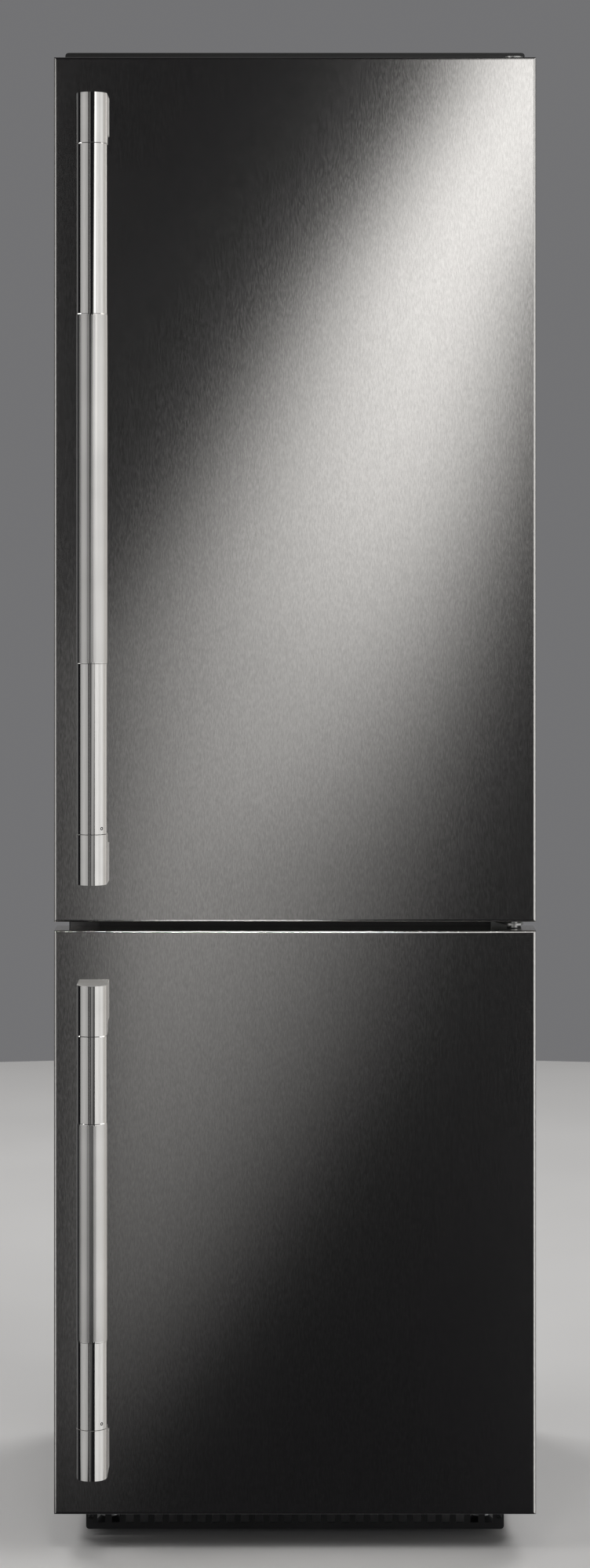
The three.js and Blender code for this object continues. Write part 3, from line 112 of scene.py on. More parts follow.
# ------------------------------------------------------------------ lamps
# Four high lamps for plain light on every side, tall soft panels that the round bars mirror
# as bands, two narrow beams for the folds along the gap, and a soft leaning ribbon that
# lays the long sheen over the brushed doors.
def soft_lamp(name, place, target, width, height, power, spread=180):
    lamp = bpy.data.lights.new(name, "AREA")
    lamp.shape = "RECTANGLE"
    lamp.size = width
    lamp.size_y = height
    lamp.energy = power
    lamp.spread = math.radians(spread)
    holder = bpy.data.objects.new(name, lamp)
    aim = (Vector(target) - Vector(place)).to_track_quat("-Z", "Y").to_matrix().to_4x4()
    holder.matrix_world = Matrix.Translation(place) @ aim
    holder.visible_camera = False
    bpy.context.scene.collection.objects.link(holder)
    return holder


middle = (0, 0, 0.95)
soft_lamp("high_front_right", (2.8, -2.4, 4.4), middle, 2.6, 2.6, 85)
soft_lamp("high_front_left", (-4.2, -1.7, 4.3), middle, 3.2, 3.2, 85)
soft_lamp("high_back_left", (-2.2, 2.8, 4.0), middle, 2.2, 2.2, 90)
soft_lamp("high_back_right", (2.2, 2.8, 4.0), middle, 2.2, 2.2, 90)

# Each panel stands round the handles: its turn from straight ahead, its distance, its width
# and its power.
bars_low, bars_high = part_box("fridge_handle_bar")
panel_height = 3.0
panel_spread = 120
aim_height = 0.78
bars_axis = Vector((
    (bars_low[0] + bars_high[0]) / 2, (bars_low[1] + bars_high[1]) / 2, aim_height,
))
for name, turn, reach, width, power in (
    ("right_panel", 44, 2.8, 1.84, 6.6),
    ("right_side_panel", 82.5, 2.8, 2.09, 7.2),
    ("left_panel", -59, 2.8, 3.92, 8.4),
    ("front_strip", -12, 3.0, 0.31, 0.32),
):
    around = math.radians(turn)
    spot = bars_axis + Vector((math.sin(around), -math.cos(around), 0)) * reach
    soft_lamp(name, spot, bars_axis, width, panel_height, power, panel_spread)

# Each beam: the height of the fold it lights, its distance from the doors, its rise over
# that fold, its width, its power and its spread.
beam_x = -0.09
beam_height = 0.14
lower_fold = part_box("freezer_door_skin")[1][2]
upper_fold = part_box("fridge_door_skin")[0][2]
for name, fold, ahead, rise, width, power, spread in (
    ("high_beam", lower_fold, 1.1, 1.9, 0.34, 0.24, 24),
    ("low_beam", upper_fold, 0.5, -0.7, 0.24, 0.021, 34),
):
    soft_lamp(
        name, (beam_x, face_y - ahead, fold + rise), (beam_x, face_y, fold),
        width, beam_height, power, spread,
    )

# The ribbon's rows from low to high: height, middle, reach to the left, reach to the right
# and glow. It adds its light and lets everything through, so it hides nothing.
ribbon_distance = 1.1
ribbon_rows = (
    (-0.35, -0.38, 0.015, 0.12, 0.0), (-0.15, -0.357, 0.017, 0.176, 0.035),
    (0.15, -0.309, 0.033, 0.338, 0.147), (0.45, -0.262, 0.072, 0.479, 0.237),
    (0.75, -0.178, 0.201, 0.496, 0.33), (1.05, 0.044, 0.452, 0.32, 0.562),
    (1.35, 0.15, 0.37, 0.265, 0.955), (1.65, 0.235, 0.27, 0.215, 1.28),
    (1.95, 0.37, 0.19, 0.22, 1.45), (2.25, 0.427, 0.14, 0.2, 1.17),
    (3.0, 0.43, 0.15, 0.2, 1.15), (3.8, 0.43, 0.15, 0.2, 0.0),
)
ribbon_steps = 6
ribbon_columns = 24
ribbon_mesh = bmesh.new()
glow_layer = ribbon_mesh.verts.layers.float.new("glow")
ribbon_lines = []
for below, above in zip(ribbon_rows, ribbon_rows[1:]):
    for step in range(ribbon_steps + (above is ribbon_rows[-1])):
        share = step / ribbon_steps
        height, centre, left, right, glow = (
            low + (high - low) * share for low, high in zip(below, above)
        )
        line = []
        for column in range(ribbon_columns + 1):
            aside = 2 * column / ribbon_columns - 1
            across = centre + aside * (right if aside > 0 else left)
            corner = ribbon_mesh.verts.new((across, face_y - ribbon_distance, height))
            corner[glow_layer] = glow * (1 - aside ** 2) ** 2
            line.append(corner)
        ribbon_lines.append(line)
for low, high in zip(ribbon_lines, ribbon_lines[1:]):
    for column in range(ribbon_columns):
        ribbon_mesh.faces.new((low[column], high[column], high[column + 1], low[column + 1]))
ribbon_data = bpy.data.meshes.new("sheen_ribbon")
ribbon_mesh.to_mesh(ribbon_data)
ribbon_mesh.free()
ribbon = bpy.data.objects.new("sheen_ribbon", ribbon_data)
ribbon.visible_camera = False
ribbon.visible_shadow = False
bpy.context.scene.collection.objects.link(ribbon)
glowing = bpy.data.materials.new("glowing_ribbon")
glowing.use_nodes = True
glow_nodes = glowing.node_tree.nodes
glow_links = glowing.node_tree.links
glow_nodes.remove(glow_nodes["Principled BSDF"])
glow_value = glow_nodes.new("ShaderNodeAttribute")
glow_value.attribute_name = "glow"
glow_light = glow_nodes.new("ShaderNodeEmission")
glow_clear = glow_nodes.new("ShaderNodeBsdfTransparent")
glow_both = glow_nodes.new("ShaderNodeAddShader")
glow_links.new(glow_value.outputs["Fac"], glow_light.inputs["Strength"])
glow_links.new(glow_light.outputs[0], glow_both.inputs[0])
glow_links.new(glow_clear.outputs[0], glow_both.inputs[1])
glow_links.new(glow_both.outputs[0], glow_nodes["Material Output"].inputs["Surface"])
ribbon_data.materials.append(glowing)


# ------------------------------------------------------------------ floor
# A plain pale round of smooth board that the cabinet stands on.
floor_radius = 4.0
board_colour = (0.62, 0.61, 0.60, 1)


def effect_group(name, inputs, outputs):
    """A shader node group with number inputs and number outputs, and its two end nodes."""
    group = bpy.data.node_groups.new(name, "ShaderNodeTree")
    for label, value in inputs.items():
        socket = group.interface.new_socket(label, in_out="INPUT", socket_type="NodeSocketFloat")
        socket.default_value = value
    for label in outputs:
        group.interface.new_socket(label, in_out="OUTPUT", socket_type="NodeSocketFloat")
    return group, group.nodes.new("NodeGroupInput"), group.nodes.new("NodeGroupOutput")


# Fine and broad unevenness of a moulded, painted or cast surface, in spots per metre.
speckle, speckle_in, speckle_out = effect_group(
    "speckle", {"Fine per metre": 900, "Broad per metre": 6}, ("Fine", "Broad"),
)
for wanted, roughness_of_noise in (("Fine", 0.55), ("Broad", 0.5)):
    place = speckle.nodes.new("ShaderNodeTexCoord")
    noise = speckle.nodes.new("ShaderNodeTexNoise")
    noise.inputs["Detail"].default_value = 2
    noise.inputs["Roughness"].default_value = roughness_of_noise
    speckle.links.new(place.outputs["Object"], noise.inputs["Vector"])
    speckle.links.new(speckle_in.outputs[wanted + " per metre"], noise.inputs["Scale"])
    speckle.links.new(noise.outputs["Fac"], speckle_out.inputs[wanted])


def shaded(name, roughness, metallic=0.0, **sockets):
    """A new material and its shader; each keyword is a socket's name with _ for a space."""
    material = bpy.data.materials.new(name)
    material.use_nodes = True
    shader = material.node_tree.nodes["Principled BSDF"]
    shader.inputs["Roughness"].default_value = roughness
    shader.inputs["Metallic"].default_value = metallic
    for label, value in sockets.items():
        shader.inputs[label.replace("_", " ")].default_value = value
    return material, material.node_tree, shader


def placed(tree, group, **values):
    """A node group put into a material, with its own values."""
    node = tree.nodes.new("ShaderNodeGroup")
    node.node_tree = group
    for label, value in values.items():
        node.inputs[label.replace("_", " ")].default_value = value
    return node


# A noise stays mostly between these two, so the blends run from one to the other.
noise_low = 0.3
noise_high = 0.7


def ramp_between(tree, amount, low, high, target):
    """Blends from low to high by an output that runs about its middle, into a colour socket."""
    ramp = tree.nodes.new("ShaderNodeValToRGB")
    ramp.color_ramp.elements[0].position = noise_low
    ramp.color_ramp.elements[0].color = low
    ramp.color_ramp.elements[1].position = noise_high
    ramp.color_ramp.elements[1].color = high
    tree.links.new(amount, ramp.inputs["Fac"])
    tree.links.new(ramp.outputs["Color"], target)


def range_between(tree, amount, low, high, target):
    """Spreads an output that runs about its middle from low to high, into a number socket."""
    spread = tree.nodes.new("ShaderNodeMapRange")
    spread.inputs["From Min"].default_value = noise_low
    spread.inputs["From Max"].default_value = noise_high
    spread.inputs["To Min"].default_value = low
    spread.inputs["To Max"].default_value = high
    tree.links.new(amount, spread.inputs["Value"])
    tree.links.new(spread.outputs["Result"], target)


def dented(tree, shader, height, strength, depth):
    """Bump of a given depth in metres from an output."""
    bump = tree.nodes.new("ShaderNodeBump")
    bump.inputs["Strength"].default_value = strength
    bump.inputs["Distance"].default_value = depth
    tree.links.new(height, bump.inputs["Height"])
    tree.links.new(bump.outputs["Normal"], shader.inputs["Normal"])


def tinted(colour, share):
    """An opaque colour made darker or lighter by a share."""
    return tuple(min(1.0, channel * share) for channel in colour[:3]) + (1,)


def spotted(name, dark, light, spots, roughness, metallic=0.0, rough=None, dents=None,
            tone_by="Broad", rough_by="Fine", **sockets):
    """A material that runs from dark to light in spots, with so many fine and so many broad
    ones per metre. Where they are given, its roughness runs between two values and its
    surface has dents of a strength and a depth."""
    material, tree, shader = shaded(name, roughness, metallic, **sockets)
    fine, broad = spots
    speckles = placed(tree, speckle, Fine_per_metre=fine, Broad_per_metre=broad)
    ramp_between(tree, speckles.outputs[tone_by], dark, light, shader.inputs["Base Color"])
    if rough:
        range_between(tree, speckles.outputs[rough_by], *rough, shader.inputs["Roughness"])
    if dents:
        dented(tree, shader, speckles.outputs["Fine"], *dents)
    return material


board = spotted(
    "floor_board", tinted(board_colour, 0.97), tinted(board_colour, 1.03), (300, 1.5), 0.6,
    dents=(0.1, 0.0003), Specular_IOR_Level=0.3,
)

floor_mesh = bpy.data.meshes.new("floor")
disc = bmesh.new()
bmesh.ops.create_circle(disc, cap_ends=True, radius=floor_radius, segments=96)
disc.to_mesh(floor_mesh)
disc.free()
floor_mesh.materials.append(board)
floor = bpy.data.objects.new("floor", floor_mesh)
floor.visible_glossy = False
bpy.context.scene.collection.objects.link(floor)


# ------------------------------------------------------------------ door skins
# Stainless sheet, brushed up and down, folded back on all four sides round the foam.
# The folds keep a soft radius, so each edge carries a thin line of light.
merge_distance = 1e-6
flat_degrees = 0.5
mitre_slant = 1e-5


def smooth_copy(node, name, angle=40, mitred=False):
    """A merged copy of a CAD node with soft shading over its rounds, in the node's place.
    Where folds meet in mitres, those slanting edges stay sharp."""
    mesh = nodes[node].data.copy()
    joined = bmesh.new()
    joined.from_mesh(mesh)
    bmesh.ops.remove_doubles(joined, verts=joined.verts, dist=merge_distance)
    bmesh.ops.dissolve_limit(
        joined, angle_limit=math.radians(flat_degrees), verts=joined.verts, edges=joined.edges,
    )
    for face in joined.faces:
        face.smooth = True
    for edge in joined.edges:
        along = edge.verts[1].co - edge.verts[0].co
        mitre = mitred and min(abs(along.x), abs(along.z)) > mitre_slant
        round_edge = len(edge.link_faces) == 2 and edge.calc_face_angle() < math.radians(angle)
        edge.smooth = round_edge and not mitre
    joined.to_mesh(mesh)
    joined.free()
    if mesh.has_custom_normals:
        mesh.attributes.remove(mesh.attributes["custom_normal"])
    holder = bpy.data.objects.new("holder", mesh)
    bpy.context.scene.collection.objects.link(holder)
    weighted = holder.modifiers.new("weighted", "WEIGHTED_NORMAL")
    weighted.keep_sharp = True
    body = nodes[node].parent.name.split(":", 1)[1]
    piece = plain_piece(name, holder, body)
    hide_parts(node)
    return piece


def plain_piece(name, holder, body):
    """Turns a holder with live modifiers into a plain mesh piece that rides on a body."""
    evaluated = holder.evaluated_get(bpy.context.evaluated_depsgraph_get())
    mesh = bpy.data.meshes.new_from_object(evaluated)
    mesh.name = name
    bpy.data.objects.remove(holder)
    piece = bpy.data.objects.new(name, mesh)
    bpy.context.scene.collection.objects.link(piece)
    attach(piece, body)
    return piece


def finished(piece, material):
    """One material on the whole piece."""
    piece.data.materials.clear()
    piece.data.materials.append(material)


def painted_node(node, material):
    """One material on a CAD node that stays as it is."""
    for socket in nodes[node].material_slots:
        socket.material = material


# Short scratches along z as a tone, and a broad cloudiness over them.
clouds_per_metre = 9
brushed, brushed_in, brushed_out = effect_group(
    "brushed_grain", {"Across per metre": 900, "Along per metre": 160}, ("Tone", "Cloud"),
)
grain_place = brushed.nodes.new("ShaderNodeTexCoord")
grain_scale = brushed.nodes.new("ShaderNodeCombineXYZ")
grain_vector = brushed.nodes.new("ShaderNodeVectorMath")
grain_vector.operation = "MULTIPLY"
grain_noise = brushed.nodes.new("ShaderNodeTexNoise")
grain_noise.inputs["Scale"].default_value = 1
grain_noise.inputs["Detail"].default_value = 3
cloud_noise = brushed.nodes.new("ShaderNodeTexNoise")
cloud_noise.inputs["Scale"].default_value = clouds_per_metre
cloud_noise.inputs["Detail"].default_value = 2
brushed.links.new(brushed_in.outputs["Across per metre"], grain_scale.inputs["X"])
brushed.links.new(brushed_in.outputs["Across per metre"], grain_scale.inputs["Y"])
brushed.links.new(brushed_in.outputs["Along per metre"], grain_scale.inputs["Z"])
brushed.links.new(grain_place.outputs["Object"], grain_vector.inputs[0])
brushed.links.new(grain_scale.outputs[0], grain_vector.inputs[1])
brushed.links.new(grain_vector.outputs[0], grain_noise.inputs["Vector"])
brushed.links.new(grain_place.outputs["Object"], cloud_noise.inputs["Vector"])
brushed.links.new(grain_noise.outputs["Fac"], brushed_out.inputs["Tone"])
brushed.links.new(cloud_noise.outputs["Fac"], brushed_out.inputs["Cloud"])

sheet_colour = (0.70, 0.682, 0.658, 1)
sheet_steel, sheet_tree, sheet_shader = shaded("brushed_sheet_steel", 0.155, 1, Anisotropic=0.35)
sheet_grain = placed(sheet_tree, brushed, Across_per_metre=850, Along_per_metre=170)
ramp_between(
    sheet_tree, sheet_grain.outputs["Tone"],
    tinted(sheet_colour, 0.86), tinted(sheet_colour, 1.14), sheet_shader.inputs["Base Color"],
)
range_between(
    sheet_tree, sheet_grain.outputs["Tone"], 0.145, 0.165, sheet_shader.inputs["Roughness"],
)
dented(sheet_tree, sheet_shader, sheet_grain.outputs["Tone"], 0.12, 0.0001)

for door in ("fridge", "freezer"):
    skin = smooth_copy(f"{door}_door_skin", f"{door}_door_brushed_skin", mitred=True)
    finished(skin, sheet_steel)


# ------------------------------------------------------------------ handle bars
# Drawn stainless tube with a knurled grip pressed into its middle. The ends fit the posts
# with a fine seam, and a socket set screw locks the bar on the lower post's spigot.
bar_sides = 96
knurl_rise = 0.0005
knurl_cut = 0.00008
knurl_weld = 2e-5
diamonds_round = 60
diamond_height = 0.0034
seam_step = 0.0006
set_screw_turn = math.radians(-46)
set_screw_rise = 0.0075
weld_distance = 1e-7


def closed_piece(name, body, joined):
    """A mesh from bmesh with its doubles merged and its faces turned out, on a body."""
    bmesh.ops.remove_doubles(joined, verts=joined.verts, dist=weld_distance)
    bmesh.ops.recalc_face_normals(joined, faces=joined.faces)
    mesh = bpy.data.meshes.new(name)
    joined.to_mesh(mesh)
    joined.free()
    piece = bpy.data.objects.new(name, mesh)
    bpy.context.scene.collection.objects.link(piece)
    if body:
        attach(piece, body)
    return piece


def ring_of(joined, radii, height):
    """A ring of corners at a height, one for each radius."""
    corners = []
    for side, radius in enumerate(radii):
        around = 2 * math.pi * side / len(radii)
        corners.append(joined.verts.new((
            radius * math.cos(around), radius * math.sin(around), height,
        )))
    return corners


def turned(name, body, profile, sides, centre, axis="Z", sharp=30):
    """A closed turned piece from (radius, height) points about an axis through a centre."""
    joined = bmesh.new()
    rings = []
    for radius, height in profile:
        if radius == 0:
            rings.append([joined.verts.new((0, 0, height))])
        else:
            rings.append(ring_of(joined, [radius] * sides, height))
    for low, high in zip(rings, rings[1:]):
        for side in range(sides):
            after = (side + 1) % sides
            if len(low) == 1:
                joined.faces.new((low[0], high[side], high[after]))
            elif len(high) == 1:
                joined.faces.new((low[side], high[0], low[after]))
            else:
                joined.faces.new((low[side], high[side], high[after], low[after]))
    turn = {"X": Matrix.Rotation(math.pi / 2, 4, "Y"), "Y": Matrix.Rotation(-math.pi / 2, 4, "X")}
    joined.transform(Matrix.Translation(centre) @ turn.get(axis, Matrix.Identity(4)))
    soften(joined, sharp)
    return closed_piece(name, body, joined)


def soften(joined, sharp):
    """Soft shading, with edges sharper than an angle kept crisp."""
    for face in joined.faces:
        face.smooth = True
    joined.normal_update()
    for edge in joined.edges:
        edge.smooth = len(edge.link_faces) == 2 and edge.calc_face_angle() < math.radians(sharp)


def geometry_tree(name, inputs):
    """A Geometry Nodes tree with named inputs, and its two end nodes."""
    tree = bpy.data.node_groups.new(name, "GeometryNodeTree")
    tree.interface.new_socket("Geometry", in_out="INPUT", socket_type="NodeSocketGeometry")
    for label, kind in inputs.items():
        tree.interface.new_socket(label, in_out="INPUT", socket_type="NodeSocket" + kind)
    tree.interface.new_socket("Geometry", in_out="OUTPUT", socket_type="NodeSocketGeometry")
    return tree, tree.nodes.new("NodeGroupInput"), tree.nodes.new("NodeGroupOutput")


def chained(tree, *steps):
    """Links each node's first geometry output to the next one's first geometry input."""
    for before, after in zip(steps, steps[1:]):
        source = next(socket for socket in before.outputs if socket.type == "GEOMETRY")
        target = next(socket for socket in after.inputs if socket.type == "GEOMETRY")
        tree.links.new(source, target)


def math_node(tree, operation, first, second):
    """A Math node whose inputs are sockets or plain numbers."""
    node = tree.nodes.new("ShaderNodeMath")
    node.operation = operation
    for socket, value in zip(node.inputs, (first, second)):
        if isinstance(value, (int, float)):
            socket.default_value = value
        else:
            tree.links.new(value, socket)
    return node.outputs[0]


def grown(name, tree, start, body, slot_name, **values):
    """Runs a tree on a start mesh and keeps the result as one plain piece on a body."""
    holder = bpy.data.objects.new("holder", start or bpy.data.meshes.new("start"))
    bpy.context.scene.collection.objects.link(holder)
    modifier = holder.modifiers.new("grow", "NODES")
    modifier.node_group = tree
    named = {label.replace("_", " "): value for label, value in values.items()}
    for item in tree.interface.items_tree:
        if item.item_type == "SOCKET" and item.in_out == "INPUT" and item.name in named:
            modifier[item.identifier] = named.pop(item.name)
    if named:
        raise ValueError(f"{tree.name} has no input {sorted(named)}")
    piece = plain_piece(name, holder, body)
    return piece


# Diamonds of a knurl: points on every second place of a grid, rolled round a cylinder.
knurl, knurl_in, knurl_out = geometry_tree("knurl_diamonds", {
    "Round": "Int", "Rows": "Int", "Radius": "Float", "Row Height": "Float",
    "Diamond": "Object", "Steel": "Material",
})
knurl_grid = knurl.nodes.new("GeometryNodeMeshGrid")
knurl_grid.inputs["Size X"].default_value = 1
knurl_grid.inputs["Size Y"].default_value = 1
knurl_index = knurl.nodes.new("GeometryNodeInputIndex")
knurl_column = math_node(
    knurl, "FLOOR",
    math_node(knurl, "DIVIDE", knurl_index.outputs[0], knurl_in.outputs["Rows"]), 0,
)
knurl_row = math_node(knurl, "MODULO", knurl_index.outputs[0], knurl_in.outputs["Rows"])
knurl_angle = math_node(
    knurl, "DIVIDE",
    math_node(knurl, "MULTIPLY", knurl_column, 2 * math.pi), knurl_in.outputs["Round"],
)
knurl_place = knurl.nodes.new("ShaderNodeCombineXYZ")
for label, function in (("X", "COSINE"), ("Y", "SINE")):
    reach = math_node(knurl, function, knurl_angle, 0)
    knurl.links.new(
        math_node(knurl, "MULTIPLY", reach, knurl_in.outputs["Radius"]),
        knurl_place.inputs[label],
    )
knurl.links.new(
    math_node(knurl, "MULTIPLY", knurl_row, knurl_in.outputs["Row Height"]),
    knurl_place.inputs["Z"],
)
knurl_odd = math_node(knurl, "MODULO", math_node(knurl, "ADD", knurl_column, knurl_row), 2)
knurl_points = knurl.nodes.new("GeometryNodeSetPosition")
knurl_turn = knurl.nodes.new("ShaderNodeCombineXYZ")
knurl_instances = knurl.nodes.new("GeometryNodeInstanceOnPoints")
knurl_shape = knurl.nodes.new("GeometryNodeObjectInfo")
knurl_real = knurl.nodes.new("GeometryNodeRealizeInstances")
knurl_merge = knurl.nodes.new("GeometryNodeMergeByDistance")
knurl_merge.inputs["Distance"].default_value = knurl_weld
knurl_finish = knurl.nodes.new("GeometryNodeSetMaterial")
knurl.links.new(knurl_in.outputs["Round"], knurl_grid.inputs["Vertices X"])
knurl.links.new(knurl_in.outputs["Rows"], knurl_grid.inputs["Vertices Y"])
knurl.links.new(knurl_place.outputs[0], knurl_points.inputs["Position"])
knurl.links.new(knurl_odd, knurl_instances.inputs["Selection"])
knurl.links.new(knurl_angle, knurl_turn.inputs["Z"])
knurl.links.new(knurl_turn.outputs[0], knurl_instances.inputs["Rotation"])
knurl.links.new(knurl_in.outputs["Diamond"], knurl_shape.inputs["Object"])
knurl.links.new(knurl_shape.outputs["Geometry"], knurl_instances.inputs["Instance"])
knurl.links.new(knurl_in.outputs["Steel"], knurl_finish.inputs["Material"])
chained(
    knurl, knurl_grid, knurl_points, knurl_instances, knurl_real, knurl_merge, knurl_finish,
    knurl_out,
)

bar_colour = (0.78, 0.765, 0.74, 1)
bar_steel, bar_tree, bar_shader = shaded("drawn_bar_steel", 0.09, 1)
bar_grain = placed(bar_tree, brushed, Across_per_metre=2200, Along_per_metre=60)
ramp_between(
    bar_tree, bar_grain.outputs["Tone"],
    tinted(bar_colour, 0.94), tinted(bar_colour, 1.06), bar_shader.inputs["Base Color"],
)
range_between(bar_tree, bar_grain.outputs["Cloud"], 0.075, 0.105, bar_shader.inputs["Roughness"])

knurl_steel = spotted(
    "knurled_steel", tinted(bar_colour, 0.88), tinted(bar_colour, 0.98), (1500, 12), 0.24, 1,
    rough=(0.13, 0.19),
)
oxide_steel = spotted(
    "black_oxide_steel", (0.02, 0.02, 0.022, 1), (0.045, 0.045, 0.047, 1), (2500, 300), 0.35, 1,
    tone_by="Fine",
)

knurl_lengths = {"fridge": 0.424, "freezer": 0.264}
for door, knurl_length in knurl_lengths.items():
    bar_low, bar_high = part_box(f"{door}_handle_bar")
    axis_x = (bar_low[0] + bar_high[0]) / 2
    axis_y = (bar_low[1] + bar_high[1]) / 2
    crest = (bar_high[0] - bar_low[0]) / 2
    tube_radius = crest - knurl_rise
    rows = round(knurl_length / (diamond_height / 2) / 2) * 2
    grip_low = (bar_low[2] + bar_high[2] - rows * diamond_height / 2) / 2
    grip_high = grip_low + rows * diamond_height / 2
    bar = turned(
        f"{door}_bar_tube", f"{door}_door",
        [
            (0, bar_low[2]),
            (tube_radius - seam_step, bar_low[2]),
            (tube_radius, bar_low[2] + seam_step),
            (tube_radius, grip_low - seam_step),
            (crest - knurl_cut / 2, grip_low - knurl_cut),
            (crest - knurl_cut / 2, grip_low),
            (crest - knurl_cut * 1.5, grip_low + knurl_cut),
            (crest - knurl_cut * 1.5, grip_high - knurl_cut),
            (crest - knurl_cut / 2, grip_high),
            (crest - knurl_cut / 2, grip_high + knurl_cut),
            (tube_radius, grip_high + seam_step),
            (tube_radius, bar_high[2] - seam_step),
            (tube_radius - seam_step, bar_high[2]),
            (0, bar_high[2]),
        ],
        sides=bar_sides, centre=(axis_x, axis_y, 0),
    )
    finished(bar, bar_steel)
    bar.visible_glossy = False
    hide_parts(f"{door}_handle_bar")

    half_turn = math.pi / diamonds_round
    root = crest - knurl_cut
    pyramid = bmesh.new()
    tip = pyramid.verts.new((knurl_cut, 0, 0))
    rim = [
        pyramid.verts.new((root * math.cos(half_turn) - root, root * math.sin(half_turn), 0)),
        pyramid.verts.new((0, 0, diamond_height / 2)),
        pyramid.verts.new((root * math.cos(half_turn) - root, -root * math.sin(half_turn), 0)),
        pyramid.verts.new((0, 0, -diamond_height / 2)),
    ]
    for corner, following in zip(rim, rim[1:] + rim[:1]):
        pyramid.faces.new((tip, corner, following))
    diamond_mesh = bpy.data.meshes.new("diamond")
    pyramid.to_mesh(diamond_mesh)
    pyramid.free()
    diamond = bpy.data.objects.new("diamond", diamond_mesh)
    grip = grown(
        f"{door}_bar_knurl", knurl, None, f"{door}_door", "handle_steel",
        Round=diamonds_round * 2, Rows=rows - 1, Radius=root,
        Row_Height=diamond_height / 2, Diamond=diamond, Steel=knurl_steel,
    )
    grip.data.transform(Matrix.Translation((axis_x, axis_y, grip_low + diamond_height / 2)))
    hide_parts(f"{door}_handle_bar")
    grip.visible_glossy = False
    bpy.data.objects.remove(diamond)

    # The set screw sits just over the lower seam.
    screw = turned(
        f"{door}_bar_set_screw", f"{door}_door",
        [
            (0, -0.0012), (0.0011, -0.0012), (0.0011, 0.0002), (0.0018, 0.0003),
            (0.0021, 0.0), (0.0021, -0.002), (0, -0.002),
        ],
        sides=12, centre=(0, 0, 0),
    )
    screw.data.transform(
        Matrix.Translation((axis_x, axis_y, bar_low[2] + set_screw_rise))
        @ Matrix.Rotation(set_screw_turn, 4, "Z")
        @ Matrix.Translation((tube_radius, 0, 0))
        @ Matrix.Rotation(math.radians(90), 4, "Y")
    )
    finished(screw, oxide_steel)


# ------------------------------------------------------------------ handle posts
# Cast stainless brackets, polished with the bar: round in front, flat flanks to the door.
post_steel, post_tree, post_shader = shaded("polished_post_steel", 0.1, 1)
post_spots = placed(post_tree, speckle, Fine_per_metre=1400, Broad_per_metre=30)
ramp_between(
    post_tree, post_spots.outputs["Broad"],
    tinted(bar_colour, 0.95), tinted(bar_colour, 1.04), post_shader.inputs["Base Color"],
)
# Only the front is polished: faces that look aside or up are satin.
post_facing = post_tree.nodes.new("ShaderNodeNewGeometry")
post_split = post_tree.nodes.new("ShaderNodeSeparateXYZ")
post_ahead = post_tree.nodes.new("ShaderNodeMath")
post_ahead.operation = "ABSOLUTE"
post_tree.links.new(post_facing.outputs["Normal"], post_split.inputs[0])
post_tree.links.new(post_split.outputs["Y"], post_ahead.inputs[0])
post_flank = post_tree.nodes.new("ShaderNodeMapRange")
post_flank.interpolation_type = "SMOOTHSTEP"
for label, value in (("From Min", 0.02), ("From Max", 0.17), ("To Min", 0.5), ("To Max", 0.09)):
    post_flank.inputs[label].default_value = value
post_tree.links.new(post_ahead.outputs[0], post_flank.inputs["Value"])
post_tree.links.new(post_flank.outputs["Result"], post_shader.inputs["Roughness"])
for door in ("fridge", "freezer"):
    for end in ("upper", "lower"):
        post = smooth_copy(f"{door}_handle_post_{end}", f"{door}_post_{end}")
        finished(post, post_steel)
        post.visible_glossy = False


# ------------------------------------------------------------------ cabinet case
# Folded steel wrapper with a baked charcoal enamel, slightly pebbled like all such coats.
case_colour = (0.052, 0.052, 0.054, 1)
enamel = spotted(
    "charcoal_enamel", tinted(case_colour, 0.92), tinted(case_colour, 1.08), (420, 4), 0.42,
    rough=(0.38, 0.46), rough_by="Broad", dents=(0.25, 0.0004), Coat_Weight=0.15,
)
finished(smooth_copy("outer_case", "enamelled_case", 30), enamel)

# The rail between the doors and its blank carry a satin grey paint.
rail_colour = (0.16, 0.157, 0.155, 1)
rail_paint = spotted(
    "satin_rail_paint", tinted(rail_colour, 0.94), tinted(rail_colour, 1.06), (900, 12), 0.42,
    rough=(0.38, 0.46),
)
painted_node("centre_rail", rail_paint)


# ------------------------------------------------------------------ back panel
# Galvanised sheet with its crystal bloom, screwed to the case down both edges and across
# the top, and folded in over the machine compartment.
def points_mesh(places):
    """A start mesh that is nothing but points."""
    mesh = bpy.data.meshes.new("points")
    mesh.from_pydata([tuple(place) for place in places], [], [])
    return mesh


fasteners, fasteners_in, fasteners_out = geometry_tree("fasteners_at_points", {
    "Fastener": "Object", "Turn": "Vector", "Metal": "Material",
})
fastener_instances = fasteners.nodes.new("GeometryNodeInstanceOnPoints")
fastener_shape = fasteners.nodes.new("GeometryNodeObjectInfo")
fastener_real = fasteners.nodes.new("GeometryNodeRealizeInstances")
fastener_finish = fasteners.nodes.new("GeometryNodeSetMaterial")
fasteners.links.new(fasteners_in.outputs["Fastener"], fastener_shape.inputs["Object"])
fasteners.links.new(fastener_shape.outputs["Geometry"], fastener_instances.inputs["Instance"])
fasteners.links.new(fasteners_in.outputs["Turn"], fastener_instances.inputs["Rotation"])
fasteners.links.new(fasteners_in.outputs["Metal"], fastener_finish.inputs["Material"])
chained(
    fasteners, fasteners_in, fastener_instances, fastener_real, fastener_finish, fasteners_out,
)


